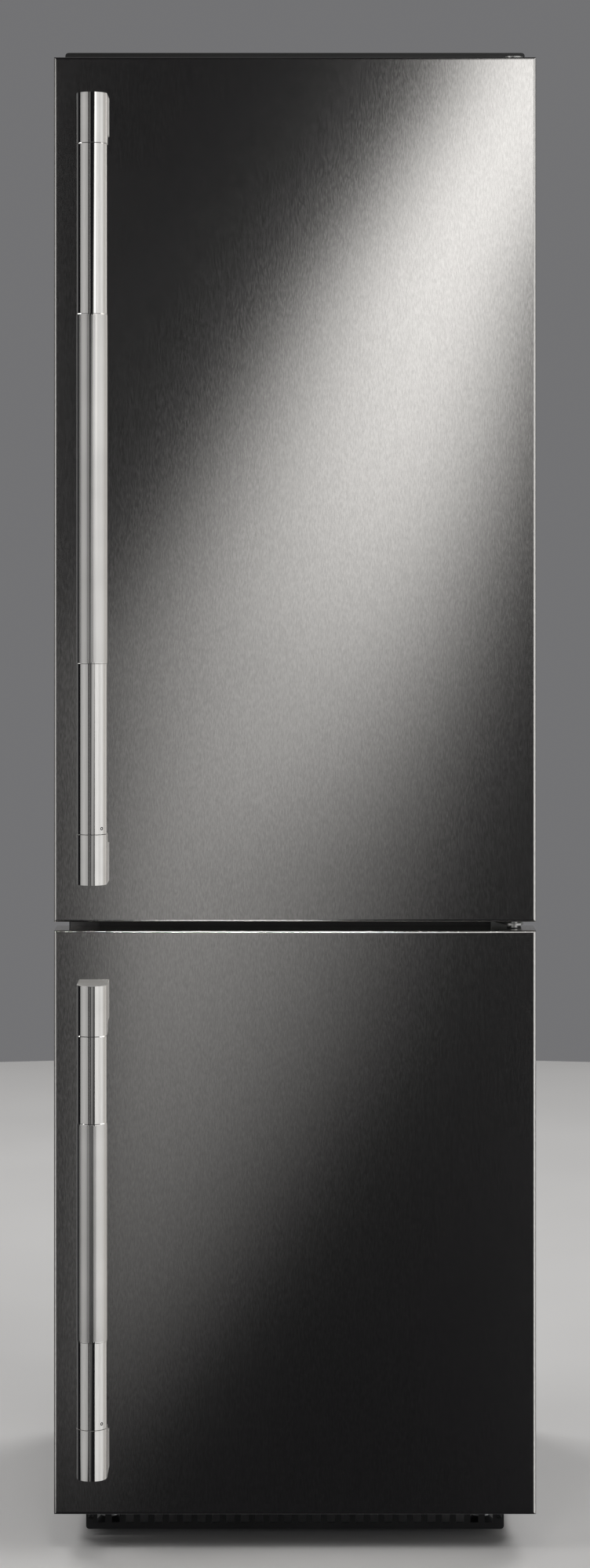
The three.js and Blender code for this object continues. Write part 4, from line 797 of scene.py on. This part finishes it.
def screw_head(name, levels, sharp):
    """A closed screw head that stands on z = 0, from rings of radii, each with its height."""
    joined = bmesh.new()
    rings = [ring_of(joined, radii, height) for radii, height in levels]
    for low, high in zip(rings, rings[1:]):
        for side in range(len(low)):
            after = (side + 1) % len(low)
            joined.faces.new((low[side], low[after], high[after], high[side]))
    joined.faces.new(list(reversed(rings[0])))
    joined.faces.new(rings[-1])
    soften(joined, sharp)
    return closed_piece(name, None, joined)


hex_sides = 18


def hexagon(reach):
    """The radii round a hexagon whose corners reach so far."""
    radii = []
    for side in range(hex_sides):
        around = 2 * math.pi * side / hex_sides
        from_flat = (around + math.pi / 6) % (math.pi / 3) - math.pi / 6
        radii.append(reach * (math.cos(math.pi / 6) / math.cos(from_flat)))
    return radii


zinc_colour = (0.42, 0.425, 0.43, 1)
galvanised, zinc_tree, zinc_shader = shaded("galvanised_sheet", 0.42, 0.85)
bloom_place = zinc_tree.nodes.new("ShaderNodeTexCoord")
bloom = zinc_tree.nodes.new("ShaderNodeTexVoronoi")
bloom.inputs["Scale"].default_value = 110
bloom_split = zinc_tree.nodes.new("ShaderNodeSeparateColor")
zinc_tree.links.new(bloom_place.outputs["Object"], bloom.inputs["Vector"])
zinc_tree.links.new(bloom.outputs["Color"], bloom_split.inputs["Color"])
ramp_between(
    zinc_tree, bloom_split.outputs["Red"],
    tinted(zinc_colour, 0.86), tinted(zinc_colour, 1.12), zinc_shader.inputs["Base Color"],
)
range_between(zinc_tree, bloom_split.outputs["Green"], 0.34, 0.5, zinc_shader.inputs["Roughness"])

bright_zinc = spotted(
    "zinc_plated_steel", (0.50, 0.50, 0.49, 1), (0.62, 0.62, 0.60, 1), (1100, 45), 0.34, 1,
    rough=(0.28, 0.42),
)

painted_node("back_panel", galvanised)
case_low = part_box("outer_case")[0]
panel_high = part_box("back_panel")[1]
edge_inset = 0.012
screw_rows = 7
edge_x = panel_high[0] - edge_inset
machine_roof = 0.262
lowest_screw = machine_roof + 0.02
highest_screw = panel_high[2] - edge_inset
screw_places = []
for row in range(screw_rows):
    height = lowest_screw + (highest_screw - lowest_screw) * row / (screw_rows - 1)
    screw_places += [(-edge_x, panel_high[1], height), (edge_x, panel_high[1], height)]
for height in (highest_screw, lowest_screw):
    screw_places += [(x, panel_high[1], height) for x in (-0.16, 0.0, 0.16)]

# Sheet metal screw head, 9.6 mm across with its washer.
hex_screw = screw_head("hex_screw_shape", [
    ([0.0048] * hex_sides, 0), ([0.0048] * hex_sides, 0.0006), ([0.0044] * hex_sides, 0.0009),
    (hexagon(0.0034), 0.0009), (hexagon(0.0034), 0.0034), (hexagon(0.0030), 0.0038),
    (hexagon(0.0018), 0.0038), (hexagon(0.0016), 0.0032),
], sharp=30)
grown(
    "back_panel_screws", fasteners, points_mesh(screw_places), "cabinet", "zinc_steel",
    Fastener=hex_screw, Turn=(math.radians(-90), 0, 0), Metal=bright_zinc,
)


# ------------------------------------------------------------------ foam
# Polyurethane blown in place between steel and liners, yellow with a skin of fine cells.
foam_colour = (0.74, 0.64, 0.40, 1)
foam = spotted(
    "blown_foam", tinted(foam_colour, 0.85), tinted(foam_colour, 1.1), (700, 14), 0.9,
    dents=(0.6, 0.0008), Specular_IOR_Level=0.2,
)
for name in ("insulation_foam", "fridge_door_foam", "freezer_door_foam"):
    painted_node(name, foam)


# ------------------------------------------------------------------ liners
# Vacuum-formed white styrene sheet, glossy, with the faint ripple that forming leaves.
liner_colour = (0.78, 0.79, 0.785, 1)
styrene = spotted(
    "white_styrene", tinted(liner_colour, 0.97), tinted(liner_colour, 1.02), (260, 5), 0.32,
    rough=(0.28, 0.37), rough_by="Broad", dents=(0.12, 0.0004), Coat_Weight=0.2,
)
for name in ("fridge_liner", "freezer_liner", "fridge_door_liner", "freezer_door_liner"):
    finished(smooth_copy(name, name + "_sheet", 40), styrene)


# ------------------------------------------------------------------ rail blank and top cover
# Injection-moulded covers. The top one is near-black plastic with a fine spark texture, held
# by cross-head screws along its back edge; the rail's blank is finished to match the rail.
cover_colour = (0.018, 0.018, 0.018, 1)
cover_plastic = spotted(
    "grey_cover_plastic", tinted(cover_colour, 0.93), tinted(cover_colour, 1.07), (1600, 8), 0.46,
    rough=(0.4, 0.54), dents=(0.3, 0.0001),
)
finished(smooth_copy("top_cover", "moulded_top_cover", 40), cover_plastic)
finished(smooth_copy("centre_rail_blank", "moulded_rail_blank", 40), rail_paint)


# ------------------------------------------------------------------ hinges
# Pressed and zinc-plated steel brackets on one axis, with turned pins; the top and bottom
# ones are held to the cabinet by cross-head screws.
for name in (
    "top_hinge_plate", "top_hinge_pin", "centre_hinge_plate", "centre_hinge_pin",
    "bottom_hinge_plate", "bottom_hinge_pin",
):
    finished(smooth_copy(name, name + "_plated", 35), bright_zinc)

# Pan head with a cross recess.
cross_radius = 0.0036
cross_height = 0.0021
cross_sides = 16
cross_recess = (0.56, 0.5, 0.2, 0.5) * (cross_sides // 4)
cross_levels = [
    ([cross_radius * share] * cross_sides, cross_height * level)
    for share, level in ((1.0, 0.0), (1.0, 0.35), (0.9, 0.7), (0.72, 0.92))
]
cross_levels += [
    ([cross_radius * share for share in cross_recess], cross_height * level)
    for level in (1.0, 0.35)
]
cross_screw = screw_head("cross_screw_shape", cross_levels, sharp=35)

centre_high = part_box("centre_hinge_plate")[1]
bottom_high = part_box("bottom_hinge_plate")[1]
plate_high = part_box("top_hinge_plate")[1]
plate_inset = 0.012
foot_front = case_low[1] - 0.0028
foot_screw_x = centre_high[0] - 0.008
foot_screw_gap = 0.02
foot_screw_z = bottom_high[2] - 0.006
grown(
    "top_hinge_screws", fasteners,
    points_mesh([
        (plate_high[0] - plate_inset, plate_high[1] - plate_inset, plate_high[2]),
        (plate_high[0] - 0.048, plate_high[1] - plate_inset, plate_high[2]),
        (plate_high[0] - 0.030, case_low[1] + 0.023, plate_high[2]),
    ]),
    "cabinet", "zinc_steel", Fastener=cross_screw, Turn=(0, 0, 0), Metal=bright_zinc,
)
grown(
    "bottom_hinge_screws", fasteners,
    points_mesh([
        (foot_screw_x, foot_front, foot_screw_z),
        (foot_screw_x - foot_screw_gap, foot_front, foot_screw_z),
    ]),
    "cabinet", "zinc_steel",
    Fastener=cross_screw, Turn=(math.radians(90), 0, 0), Metal=bright_zinc,
)

# Acetal bushes in the doors' ends, which turn on the pins.
acetal = spotted(
    "dark_acetal", (0.05, 0.05, 0.05, 1), (0.065, 0.065, 0.064, 1), (1300, 60), 0.35,
)
bush_bore = 0.0052
bush_rim = 0.0092
pin_low, pin_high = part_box("centre_hinge_pin")
hinge_x = (pin_low[0] + pin_high[0]) / 2
hinge_y = (pin_low[1] + pin_high[1]) / 2
bush_flange = 0.0008
for door in ("fridge", "freezer"):
    skin_low, skin_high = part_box(f"{door}_door_skin")
    for end, level, out in (("lower", skin_low[2], -1), ("upper", skin_high[2], 1)):
        bush = turned(
            f"{door}_{end}_bush", f"{door}_door",
            [
                (bush_bore, level - out * 0.001), (0.0054, level + out * bush_flange),
                (0.0086, level + out * bush_flange), (bush_rim, level + out * bush_flange / 2),
                (bush_rim, level + out * 0.0001), (bush_bore, level - out * 0.001),
            ],
            sides=28, centre=(hinge_x, hinge_y, 0),
        )
        finished(bush, acetal)


# ------------------------------------------------------------------ base, feet and rollers
# Galvanised pan with bosses for the two levelling feet and ears for the two rear rollers;
# the feet have a cut thread and the rollers two grooves in their treads.
black_colour = (0.018, 0.018, 0.019, 1)
black_plastic = spotted(
    "black_moulded_plastic", tinted(black_colour, 0.8), tinted(black_colour, 1.3), (1500, 9), 0.5,
    rough=(0.42, 0.6), dents=(0.3, 0.0001),
)
painted_node("base_pan", galvanised)
painted_node("toe_grille", black_plastic)

thread, thread_in, thread_out = geometry_tree("cut_thread", {
    "Turns": "Float", "Radius": "Float", "Height": "Float", "Depth": "Float",
    "Plastic": "Material",
})
thread_path = thread.nodes.new("GeometryNodeCurveSpiral")
thread_path.inputs["Resolution"].default_value = 18
thread_section = thread.nodes.new("GeometryNodeCurvePrimitiveCircle")
thread_section.inputs["Resolution"].default_value = 4
thread_sweep = thread.nodes.new("GeometryNodeCurveToMesh")
thread_sweep.inputs["Fill Caps"].default_value = True
thread_real = thread.nodes.new("GeometryNodeRealizeInstances")
thread_finish = thread.nodes.new("GeometryNodeSetMaterial")
thread.links.new(thread_in.outputs["Turns"], thread_path.inputs["Rotations"])
thread.links.new(thread_in.outputs["Radius"], thread_path.inputs["Start Radius"])
thread.links.new(thread_in.outputs["Radius"], thread_path.inputs["End Radius"])
thread.links.new(thread_in.outputs["Height"], thread_path.inputs["Height"])
thread.links.new(thread_in.outputs["Depth"], thread_section.inputs["Radius"])
thread.links.new(thread_in.outputs["Plastic"], thread_finish.inputs["Material"])
thread.links.new(thread_section.outputs["Curve"], thread_sweep.inputs["Profile Curve"])
chained(thread, thread_path, thread_sweep, thread_real, thread_finish, thread_out)

cover_low, cover_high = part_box("top_cover")
cover_middle = (cover_low[2] + cover_high[2]) / 2
grown(
    "top_cover_screws", fasteners,
    points_mesh([(x, cover_high[1], cover_middle) for x in (-0.24, -0.08, 0.08, 0.24)]),
    "cabinet", "zinc_steel",
    Fastener=cross_screw, Turn=(math.radians(-90), 0, 0), Metal=bright_zinc,
)
grille_low, grille_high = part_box("toe_grille")
grille_inset = 0.006
grown(
    "toe_grille_screws", fasteners,
    points_mesh([
        (x, grille_low[1], (grille_low[2] + grille_high[2]) / 2)
        for x in (grille_low[0] + grille_inset, grille_high[0] - grille_inset)
    ]),
    "cabinet", "zinc_steel",
    Fastener=cross_screw, Turn=(math.radians(90), 0, 0), Metal=black_plastic,
)
base_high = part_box("base_pan")[1]
base_screw_z = 0.037
grown(
    "base_pan_screws", fasteners,
    points_mesh([(x, base_high[1] - 0.002, base_screw_z) for x in (-0.25, -0.12, 0.03, 0.25)]),
    "cabinet", "zinc_steel",
    Fastener=hex_screw, Turn=(math.radians(-90), 0, 0), Metal=bright_zinc,
)

thread_start = 0.0155
roller_bore = 0.0043
roller_hub = 0.0075
for side in ("left", "right"):
    foot_low, foot_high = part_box(f"{side}_foot")
    foot = smooth_copy(f"{side}_foot", f"{side}_levelling_foot", 35)
    finished(foot, black_plastic)
    ridge = grown(
        f"{side}_foot_thread", thread, None, f"{side}_foot", "black_plastic",
        Turns=11.0, Radius=0.0056, Height=0.038, Depth=0.0006, Plastic=black_plastic,
    )
    foot_x = (foot_low[0] + foot_high[0]) / 2
    foot_y = (foot_low[1] + foot_high[1]) / 2
    ridge.data.transform(Matrix.Translation((foot_x, foot_y, foot_low[2] + thread_start)))

    wheel_low, wheel_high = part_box(f"{side}_roller")
    wheel_middle = (wheel_low + wheel_high) / 2
    half = (wheel_high[0] - wheel_low[0]) / 2
    rim = (wheel_high[2] - wheel_low[2]) / 2
    wheel = turned(
        f"{side}_grooved_roller", f"{side}_roller",
        [
            (roller_bore, -half), (roller_hub, -half), (roller_hub, -half + 0.002),
            (rim - 0.004, -half + 0.002), (rim - 0.004, -half), (rim - 0.001, -half),
            (rim, -half + 0.001), (rim, -0.0045), (rim - 0.001, -0.004), (rim - 0.001, -0.0025),
            (rim, -0.002), (rim, 0.002), (rim - 0.001, 0.0025), (rim - 0.001, 0.004),
            (rim, 0.0045), (rim, half - 0.001), (rim - 0.001, half), (rim - 0.004, half),
            (rim - 0.004, half - 0.002), (roller_hub, half - 0.002), (roller_hub, half),
            (roller_bore, half), (roller_bore, -half),
        ],
        sides=40, centre=wheel_middle, axis="X",
    )
    finished(wheel, black_plastic)
    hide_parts(f"{side}_roller")


# ------------------------------------------------------------------ compressor and tray
# Welded steel pot in black stoving paint on rubber grommets, with a plastic cover over its
# terminals and an open plastic tray on top that the defrost water dries from.
paint_colour = (0.012, 0.012, 0.012, 1)
stoved = spotted(
    "black_stoved_paint", tinted(paint_colour, 0.8), tinted(paint_colour, 1.5), (380, 25), 0.36,
    rough=(0.3, 0.45), dents=(0.3, 0.0005), Coat_Weight=0.3,
)
finished(smooth_copy("compressor", "welded_compressor", 38), stoved)
finished(smooth_copy("condensate_tray", "moulded_tray", 40), black_plastic)

pot_low, pot_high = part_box("compressor")
bolt_inset = 0.014
back_bolts = 0.11
plate_top = 0.0413
grown(
    "compressor_bolts", fasteners,
    points_mesh([
        (x, y, plate_top)
        for x in (pot_low[0] + bolt_inset, pot_high[0] - bolt_inset)
        for y in (pot_low[1] + bolt_inset, pot_low[1] + back_bolts)
    ]),
    "cabinet", "zinc_steel", Fastener=hex_screw, Turn=(0, 0, 0), Metal=bright_zinc,
)


# ------------------------------------------------------------------ pipework
# Bundy tube and copper brazed between the compressor, the condenser and the wall, with a
# filter drier on the way and a pinched service stub on the pot.
tube, tube_in, tube_out = geometry_tree("tube_along_path", {
    "Bend": "Float", "Radius": "Float", "Sides": "Int", "Metal": "Material",
})
tube_curve = tube.nodes.new("GeometryNodeMeshToCurve")
tube_fillet = tube.nodes.new("GeometryNodeFilletCurve")
tube_fillet.mode = "POLY"
tube_fillet.inputs["Count"].default_value = 7
tube_section = tube.nodes.new("GeometryNodeCurvePrimitiveCircle")
tube_sweep = tube.nodes.new("GeometryNodeCurveToMesh")
tube_sweep.inputs["Fill Caps"].default_value = True
tube_smooth = tube.nodes.new("GeometryNodeSetShadeSmooth")
tube_real = tube.nodes.new("GeometryNodeRealizeInstances")
tube_finish = tube.nodes.new("GeometryNodeSetMaterial")
tube.links.new(tube_in.outputs["Bend"], tube_fillet.inputs["Radius"])
tube.links.new(tube_in.outputs["Radius"], tube_section.inputs["Radius"])
tube.links.new(tube_in.outputs["Sides"], tube_section.inputs["Resolution"])
tube.links.new(tube_section.outputs["Curve"], tube_sweep.inputs["Profile Curve"])
tube.links.new(tube_in.outputs["Metal"], tube_finish.inputs["Material"])
chained(
    tube, tube_in, tube_curve, tube_fillet, tube_sweep, tube_smooth, tube_real, tube_finish,
    tube_out,
)


def path_mesh(places, closed=False):
    """A start mesh of one line through points."""
    mesh = bpy.data.meshes.new("path")
    count = len(places)
    edges = [(k, (k + 1) % count) for k in range(count if closed else count - 1)]
    mesh.from_pydata([tuple(place) for place in places], edges, [])
    return mesh


copper = spotted(
    "dull_copper", (0.52, 0.25, 0.16, 1), (0.72, 0.38, 0.26, 1), (900, 40), 0.34, 1,
    rough=(0.26, 0.45),
)

port_y = pot_high[1]
port_z = 0.1098
port_depth = 0.003
port_left = -0.117
port_right = -0.073
discharge_x = -0.214
suction_x = 0.03
stub_x = -0.095
roof_z = 0.2597
steel_tube_radius = 0.0026
coil_inset = 0.0036
coil_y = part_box("condenser_coil")[1][1] - coil_inset
coil_foot = 0.33
coil_head = 1.452
coil_end = -0.192
edge_line = -0.243
capillary_x = edge_line + 0.022
capillary_dip = 0.075
lane_y = port_y + 0.012
drier_y = 0.262
grown(
    "discharge_tube", tube,
    path_mesh([
        (port_left, port_y - port_depth, port_z), (port_left, lane_y, port_z),
        (discharge_x, lane_y, port_z), (discharge_x, lane_y, 0.30),
        (discharge_x, coil_y, coil_foot), (coil_end, coil_y, coil_foot),
    ]),
    "cabinet", "black_paint", Bend=0.008, Radius=steel_tube_radius, Sides=10, Metal=stoved,
)
grown(
    "suction_tube", tube,
    path_mesh([
        (port_right, port_y - port_depth, port_z), (port_right, lane_y, port_z),
        (suction_x, lane_y, port_z), (suction_x, lane_y - 0.02, port_z + 0.03),
        (suction_x, lane_y - 0.02, roof_z),
    ]),
    "cabinet", "zinc_steel", Bend=0.012, Radius=0.0035, Sides=12, Metal=copper,
)
grown(
    "liquid_tube", tube,
    path_mesh([
        (coil_end, coil_y, coil_head), (edge_line, coil_y, coil_head),
        (edge_line, coil_y, 0.235), (edge_line, drier_y, 0.215), (edge_line, drier_y, 0.193),
    ]),
    "cabinet", "black_paint", Bend=0.014, Radius=steel_tube_radius, Sides=10, Metal=stoved,
)
grown(
    "capillary_tube", tube,
    path_mesh([
        (edge_line, drier_y, 0.091), (edge_line, drier_y, capillary_dip),
        (capillary_x, drier_y, capillary_dip), (capillary_x, drier_y, 0.10),
        (edge_line + 0.03, drier_y - 0.02, roof_z),
    ]),
    "cabinet", "zinc_steel", Bend=0.008, Radius=0.0011, Sides=8, Metal=copper,
)
grown(
    "service_stub", tube,
    path_mesh([
        (stub_x, port_y - 0.02, port_z - 0.03), (stub_x, port_y + 0.004, port_z - 0.03),
        (stub_x, port_y + 0.006, port_z - 0.012),
    ]),
    "cabinet", "zinc_steel", Bend=0.004, Radius=0.003, Sides=10, Metal=copper,
)
drier = turned(
    "filter_drier", "cabinet",
    [
        (0, 0.088), (0.0022, 0.088), (0.0028, 0.096), (0.0085, 0.104), (0.0095, 0.108),
        (0.0095, 0.178), (0.0085, 0.182), (0.0042, 0.190), (0.0036, 0.197), (0, 0.197),
    ],
    sides=24, centre=(edge_line, drier_y, 0),
)
finished(drier, copper)


# ------------------------------------------------------------------ condenser
# Steel tube bent to and fro across the back, with thin steel wires spot-welded up both
# sides of it, two straps on stand-offs, all dipped in black paint.
wires, wires_in, wires_out = geometry_tree("welded_wires", {
    "Count": "Int", "Span": "Float", "Length": "Float", "Radius": "Float", "Paint": "Material",
})
wire_line = wires.nodes.new("GeometryNodeMeshLine")
wire_line.mode = "END_POINTS"
wire_line.count_mode = "TOTAL"
wire_start = wires.nodes.new("ShaderNodeCombineXYZ")
wire_end = wires.nodes.new("ShaderNodeCombineXYZ")
wire_rod = wires.nodes.new("GeometryNodeMeshCylinder")
wire_rod.inputs["Vertices"].default_value = 6
wire_instances = wires.nodes.new("GeometryNodeInstanceOnPoints")
wire_real = wires.nodes.new("GeometryNodeRealizeInstances")
wire_finish = wires.nodes.new("GeometryNodeSetMaterial")
wires.links.new(
    math_node(wires, "MULTIPLY", wires_in.outputs["Span"], -0.5), wire_start.inputs["X"],
)
wires.links.new(
    math_node(wires, "MULTIPLY", wires_in.outputs["Span"], 0.5), wire_end.inputs["X"],
)
wires.links.new(wire_start.outputs[0], wire_line.inputs["Start Location"])
wires.links.new(wire_end.outputs[0], wire_line.inputs["Offset"])
wires.links.new(wires_in.outputs["Count"], wire_line.inputs["Count"])
wires.links.new(wires_in.outputs["Radius"], wire_rod.inputs["Radius"])
wires.links.new(wires_in.outputs["Length"], wire_rod.inputs["Depth"])
wires.links.new(wire_rod.outputs["Mesh"], wire_instances.inputs["Instance"])
wires.links.new(wires_in.outputs["Paint"], wire_finish.inputs["Material"])
chained(wires, wire_line, wire_instances, wire_real, wire_finish, wires_out)

coil_low, coil_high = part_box("condenser_coil")
finished(smooth_copy("condenser_coil", "condenser_tube", 50), stoved)
wire_radius = 0.0007
wire_margin = 0.002
wire_low = coil_low[2] + wire_margin
wire_high = coil_high[2] - wire_margin
for name, offset in (("front", -steel_tube_radius), ("back", steel_tube_radius)):
    row = grown(
        f"condenser_wires_{name}", wires, None, "cabinet", "black_paint",
        Count=56, Span=0.377, Length=wire_high - wire_low, Radius=wire_radius, Paint=stoved,
    )
    row.data.transform(Matrix.Translation((0, coil_y + offset, (wire_low + wire_high) / 2)))


# ------------------------------------------------------------------ evaporator, fan and cover
# Aluminium plate fins on a bent tube, a small can motor and its paddle fan behind a
# moulded cover with the fan's mouth and two rows of slots.
fin_metal = spotted(
    "mill_aluminium", (0.62, 0.63, 0.65, 1), (0.76, 0.77, 0.79, 1), (1300, 35), 0.38, 1,
    rough=(0.3, 0.46),
)
painted_node("evaporator", fin_metal)

fins, fins_in, fins_out = geometry_tree("plate_fins", {
    "Count": "Int", "Span": "Float", "Depth": "Float", "Height": "Float",
    "Thickness": "Float", "Metal": "Material",
})
fin_line = fins.nodes.new("GeometryNodeMeshLine")
fin_line.mode = "END_POINTS"
fin_start = fins.nodes.new("ShaderNodeCombineXYZ")
fin_end = fins.nodes.new("ShaderNodeCombineXYZ")
fin_size = fins.nodes.new("ShaderNodeCombineXYZ")
fin_plate = fins.nodes.new("GeometryNodeMeshCube")
fin_instances = fins.nodes.new("GeometryNodeInstanceOnPoints")
fin_real = fins.nodes.new("GeometryNodeRealizeInstances")
fin_finish = fins.nodes.new("GeometryNodeSetMaterial")
fins.links.new(math_node(fins, "MULTIPLY", fins_in.outputs["Span"], -0.5), fin_start.inputs["X"])
fins.links.new(math_node(fins, "MULTIPLY", fins_in.outputs["Span"], 0.5), fin_end.inputs["X"])
fins.links.new(fin_start.outputs[0], fin_line.inputs["Start Location"])
fins.links.new(fin_end.outputs[0], fin_line.inputs["Offset"])
fins.links.new(fins_in.outputs["Count"], fin_line.inputs["Count"])
fins.links.new(fins_in.outputs["Thickness"], fin_size.inputs["X"])
fins.links.new(fins_in.outputs["Depth"], fin_size.inputs["Y"])
fins.links.new(fins_in.outputs["Height"], fin_size.inputs["Z"])
fins.links.new(fin_size.outputs[0], fin_plate.inputs["Size"])
fins.links.new(fin_plate.outputs["Mesh"], fin_instances.inputs["Instance"])
fins.links.new(fins_in.outputs["Metal"], fin_finish.inputs["Material"])
chained(fins, fin_line, fin_instances, fin_real, fin_finish, fins_out)
block_low, block_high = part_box("evaporator")
block_middle = (block_low + block_high) / 2
fin_depth = 0.036
fin_margin = 0.002
thin_fins = grown(
    "evaporator_fins", fins, None, "cabinet", "aluminium", Count=64, Span=0.372,
    Depth=fin_depth, Height=block_high[2] - block_low[2] - 2 * fin_margin,
    Thickness=0.0003, Metal=fin_metal,
)
fin_y = block_low[1] + fin_margin + fin_depth / 2
thin_fins.data.transform(Matrix.Translation((0, fin_y, block_middle[2])))

finished(smooth_copy("fan_motor", "fan_motor_can", 35), bright_zinc)
fan_plastic = spotted(
    "grey_fan_plastic", (0.62, 0.64, 0.66, 1), (0.70, 0.72, 0.74, 1), (1200, 20), 0.4,
    dents=(0.2, 0.0001),
)
finished(smooth_copy("evaporator_fan", "paddle_fan", 40), fan_plastic)

moulded_white = spotted(
    "white_moulded_plastic", tinted(liner_colour, 0.94), tinted(liner_colour, 1.0), (1400, 7),
    0.4, rough=(0.34, 0.5), dents=(0.25, 0.0001),
)
finished(smooth_copy("freezer_air_cover", "moulded_air_cover", 40), moulded_white)
finished(smooth_copy("air_duct_cover", "moulded_duct_cover", 40), moulded_white)
finished(smooth_copy("control_housing", "moulded_housing", 40), moulded_white)


# ------------------------------------------------------------------ temperature button
# A dark plunger with a soft satin face in the front of the housing, four level lights in a
# row beside it, and the lamp's frosted lens under the housing.
trim_colour = (0.028, 0.029, 0.031, 1)
trim_plastic = spotted(
    "dark_trim_plastic", tinted(trim_colour, 0.85), tinted(trim_colour, 1.2), (1500, 10), 0.42,
    rough=(0.36, 0.5),
)
finished(smooth_copy("temperature_button", "satin_button", 35), trim_plastic)

housing_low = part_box("control_housing")[0]
button_low, button_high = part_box("temperature_button")
frosted = spotted(
    "frosted_lens", (0.82, 0.84, 0.85, 1), (0.92, 0.93, 0.94, 1), (900, 60), 0.35,
    tone_by="Fine", dents=(0.4, 0.0003), IOR=1.49,
)
light_start = 0.012
light_pitch = 0.009
light_y = housing_low[1] - 0.0004
light_z = (button_low[2] + button_high[2]) / 2
for number in range(4):
    dot = turned(
        f"level_light_{number + 1}", "cabinet",
        [
            (0, -0.0006), (0.0013, -0.0005), (0.0019, -0.0001), (0.0019, 0.0004),
            (0, 0.0004),
        ],
        sides=20, centre=(button_low[0] - light_start - number * light_pitch, light_y, light_z),
        axis="Y",
    )
    finished(dot, frosted)

lens_size = (0.15, 0.09, 0.003)
lens_corner = 0.012
lens_edge = 0.0012
lens_back = 0.11
lens_rise = 0.0068
underside_rise = 0.0136
underside_run = 0.178
lens_mesh = bmesh.new()
bmesh.ops.create_cube(lens_mesh, size=1)
bmesh.ops.scale(lens_mesh, vec=lens_size, verts=lens_mesh.verts)
corners = [
    edge for edge in lens_mesh.edges
    if abs(edge.verts[0].co.z - edge.verts[1].co.z) > 0.001
]
bmesh.ops.bevel(lens_mesh, geom=corners, offset=lens_corner, segments=6, affect="EDGES")
under = [
    edge for edge in lens_mesh.edges
    if edge.verts[0].co.z < 0 and edge.verts[1].co.z < 0
    and any(face.normal.z < -0.9 for face in edge.link_faces)
    and len(edge.link_faces) == 2
    and abs(edge.link_faces[0].normal.z - edge.link_faces[1].normal.z) > 0.5
]
bmesh.ops.bevel(lens_mesh, geom=under, offset=lens_edge, segments=3, affect="EDGES")
soften(lens_mesh, 45)
lens_mesh.transform(
    Matrix.Translation((0, housing_low[1] + lens_back, housing_low[2] + lens_rise))
    @ Matrix.Rotation(math.atan2(underside_rise, underside_run), 4, "X")
)
lens = closed_piece("lamp_lens", "cabinet", lens_mesh)
finished(lens, frosted)


# ------------------------------------------------------------------ shelves
# Float glass with ground edges, a little green, each in a dark moulded front trim.
float_glass = spotted(
    "float_glass", (0.80, 0.93, 0.89, 1), (0.84, 0.95, 0.92, 1), (500, 4), 0.03,
    Transmission_Weight=0.95, IOR=1.5,
)
for number in (1, 2, 3):
    painted_node(f"shelf_glass_{number}", float_glass)
    front_trim = smooth_copy(f"shelf_trim_{number}", f"moulded_shelf_trim_{number}", 40)
    finished(front_trim, trim_plastic)
painted_node("crisper_cover_glass", float_glass)


# ------------------------------------------------------------------ drawers, bins and lid
# Clear polystyrene mouldings, faintly blue, with the soft haze of a thin moulding.
clear_colour = (0.90, 0.95, 0.97, 1)
clear_plastic = spotted(
    "clear_polystyrene", tinted(clear_colour, 0.97), tinted(clear_colour, 1.03), (700, 6), 0.08,
    rough=(0.05, 0.11), rough_by="Broad", Transmission_Weight=0.95, IOR=1.5,
)
for name in (
    "crisper_drawer_left", "crisper_drawer_right", "freezer_drawer_bottom",
    "freezer_drawer_middle", "freezer_drawer_top", "door_bin_bottom", "door_bin_middle",
    "door_bin_top", "dairy_lid",
):
    finished(smooth_copy(name, name + "_moulding", 40), clear_plastic)


# ------------------------------------------------------------------ gaskets
# Soft grey bellows with a magnet strip, pressed into the door's liner all the way round.
rubber_colour = (0.055, 0.056, 0.060, 1)
rubber = spotted(
    "grey_soft_rubber", tinted(rubber_colour, 0.85), tinted(rubber_colour, 1.15), (900, 15), 0.7,
    rough=(0.62, 0.8),
)
bead_radius = 0.0011
gasket_width = 0.014
for door in ("fridge", "freezer"):
    finished(smooth_copy(f"{door}_door_gasket", f"{door}_bellows", 40), rubber)
    ring_low, ring_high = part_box(f"{door}_door_gasket")
    inner_low = (ring_low[0] + gasket_width, ring_low[2] + gasket_width)
    inner_high = (ring_high[0] - gasket_width, ring_high[2] - gasket_width)
    for number, share in enumerate((0.2, 0.5, 0.8)):
        depth = ring_low[1] + (ring_high[1] - ring_low[1]) * share
        grown(
            f"{door}_bellows_fold_{number + 1}", tube,
            path_mesh([
                (inner_low[0], depth, inner_low[1]), (inner_high[0], depth, inner_low[1]),
                (inner_high[0], depth, inner_high[1]), (inner_low[0], depth, inner_high[1]),
            ], closed=True),
            f"{door}_door", "gasket", Bend=0.003, Radius=bead_radius, Sides=8, Metal=rubber,
        )

for shape in (hex_screw, cross_screw):
    bpy.data.objects.remove(shape)
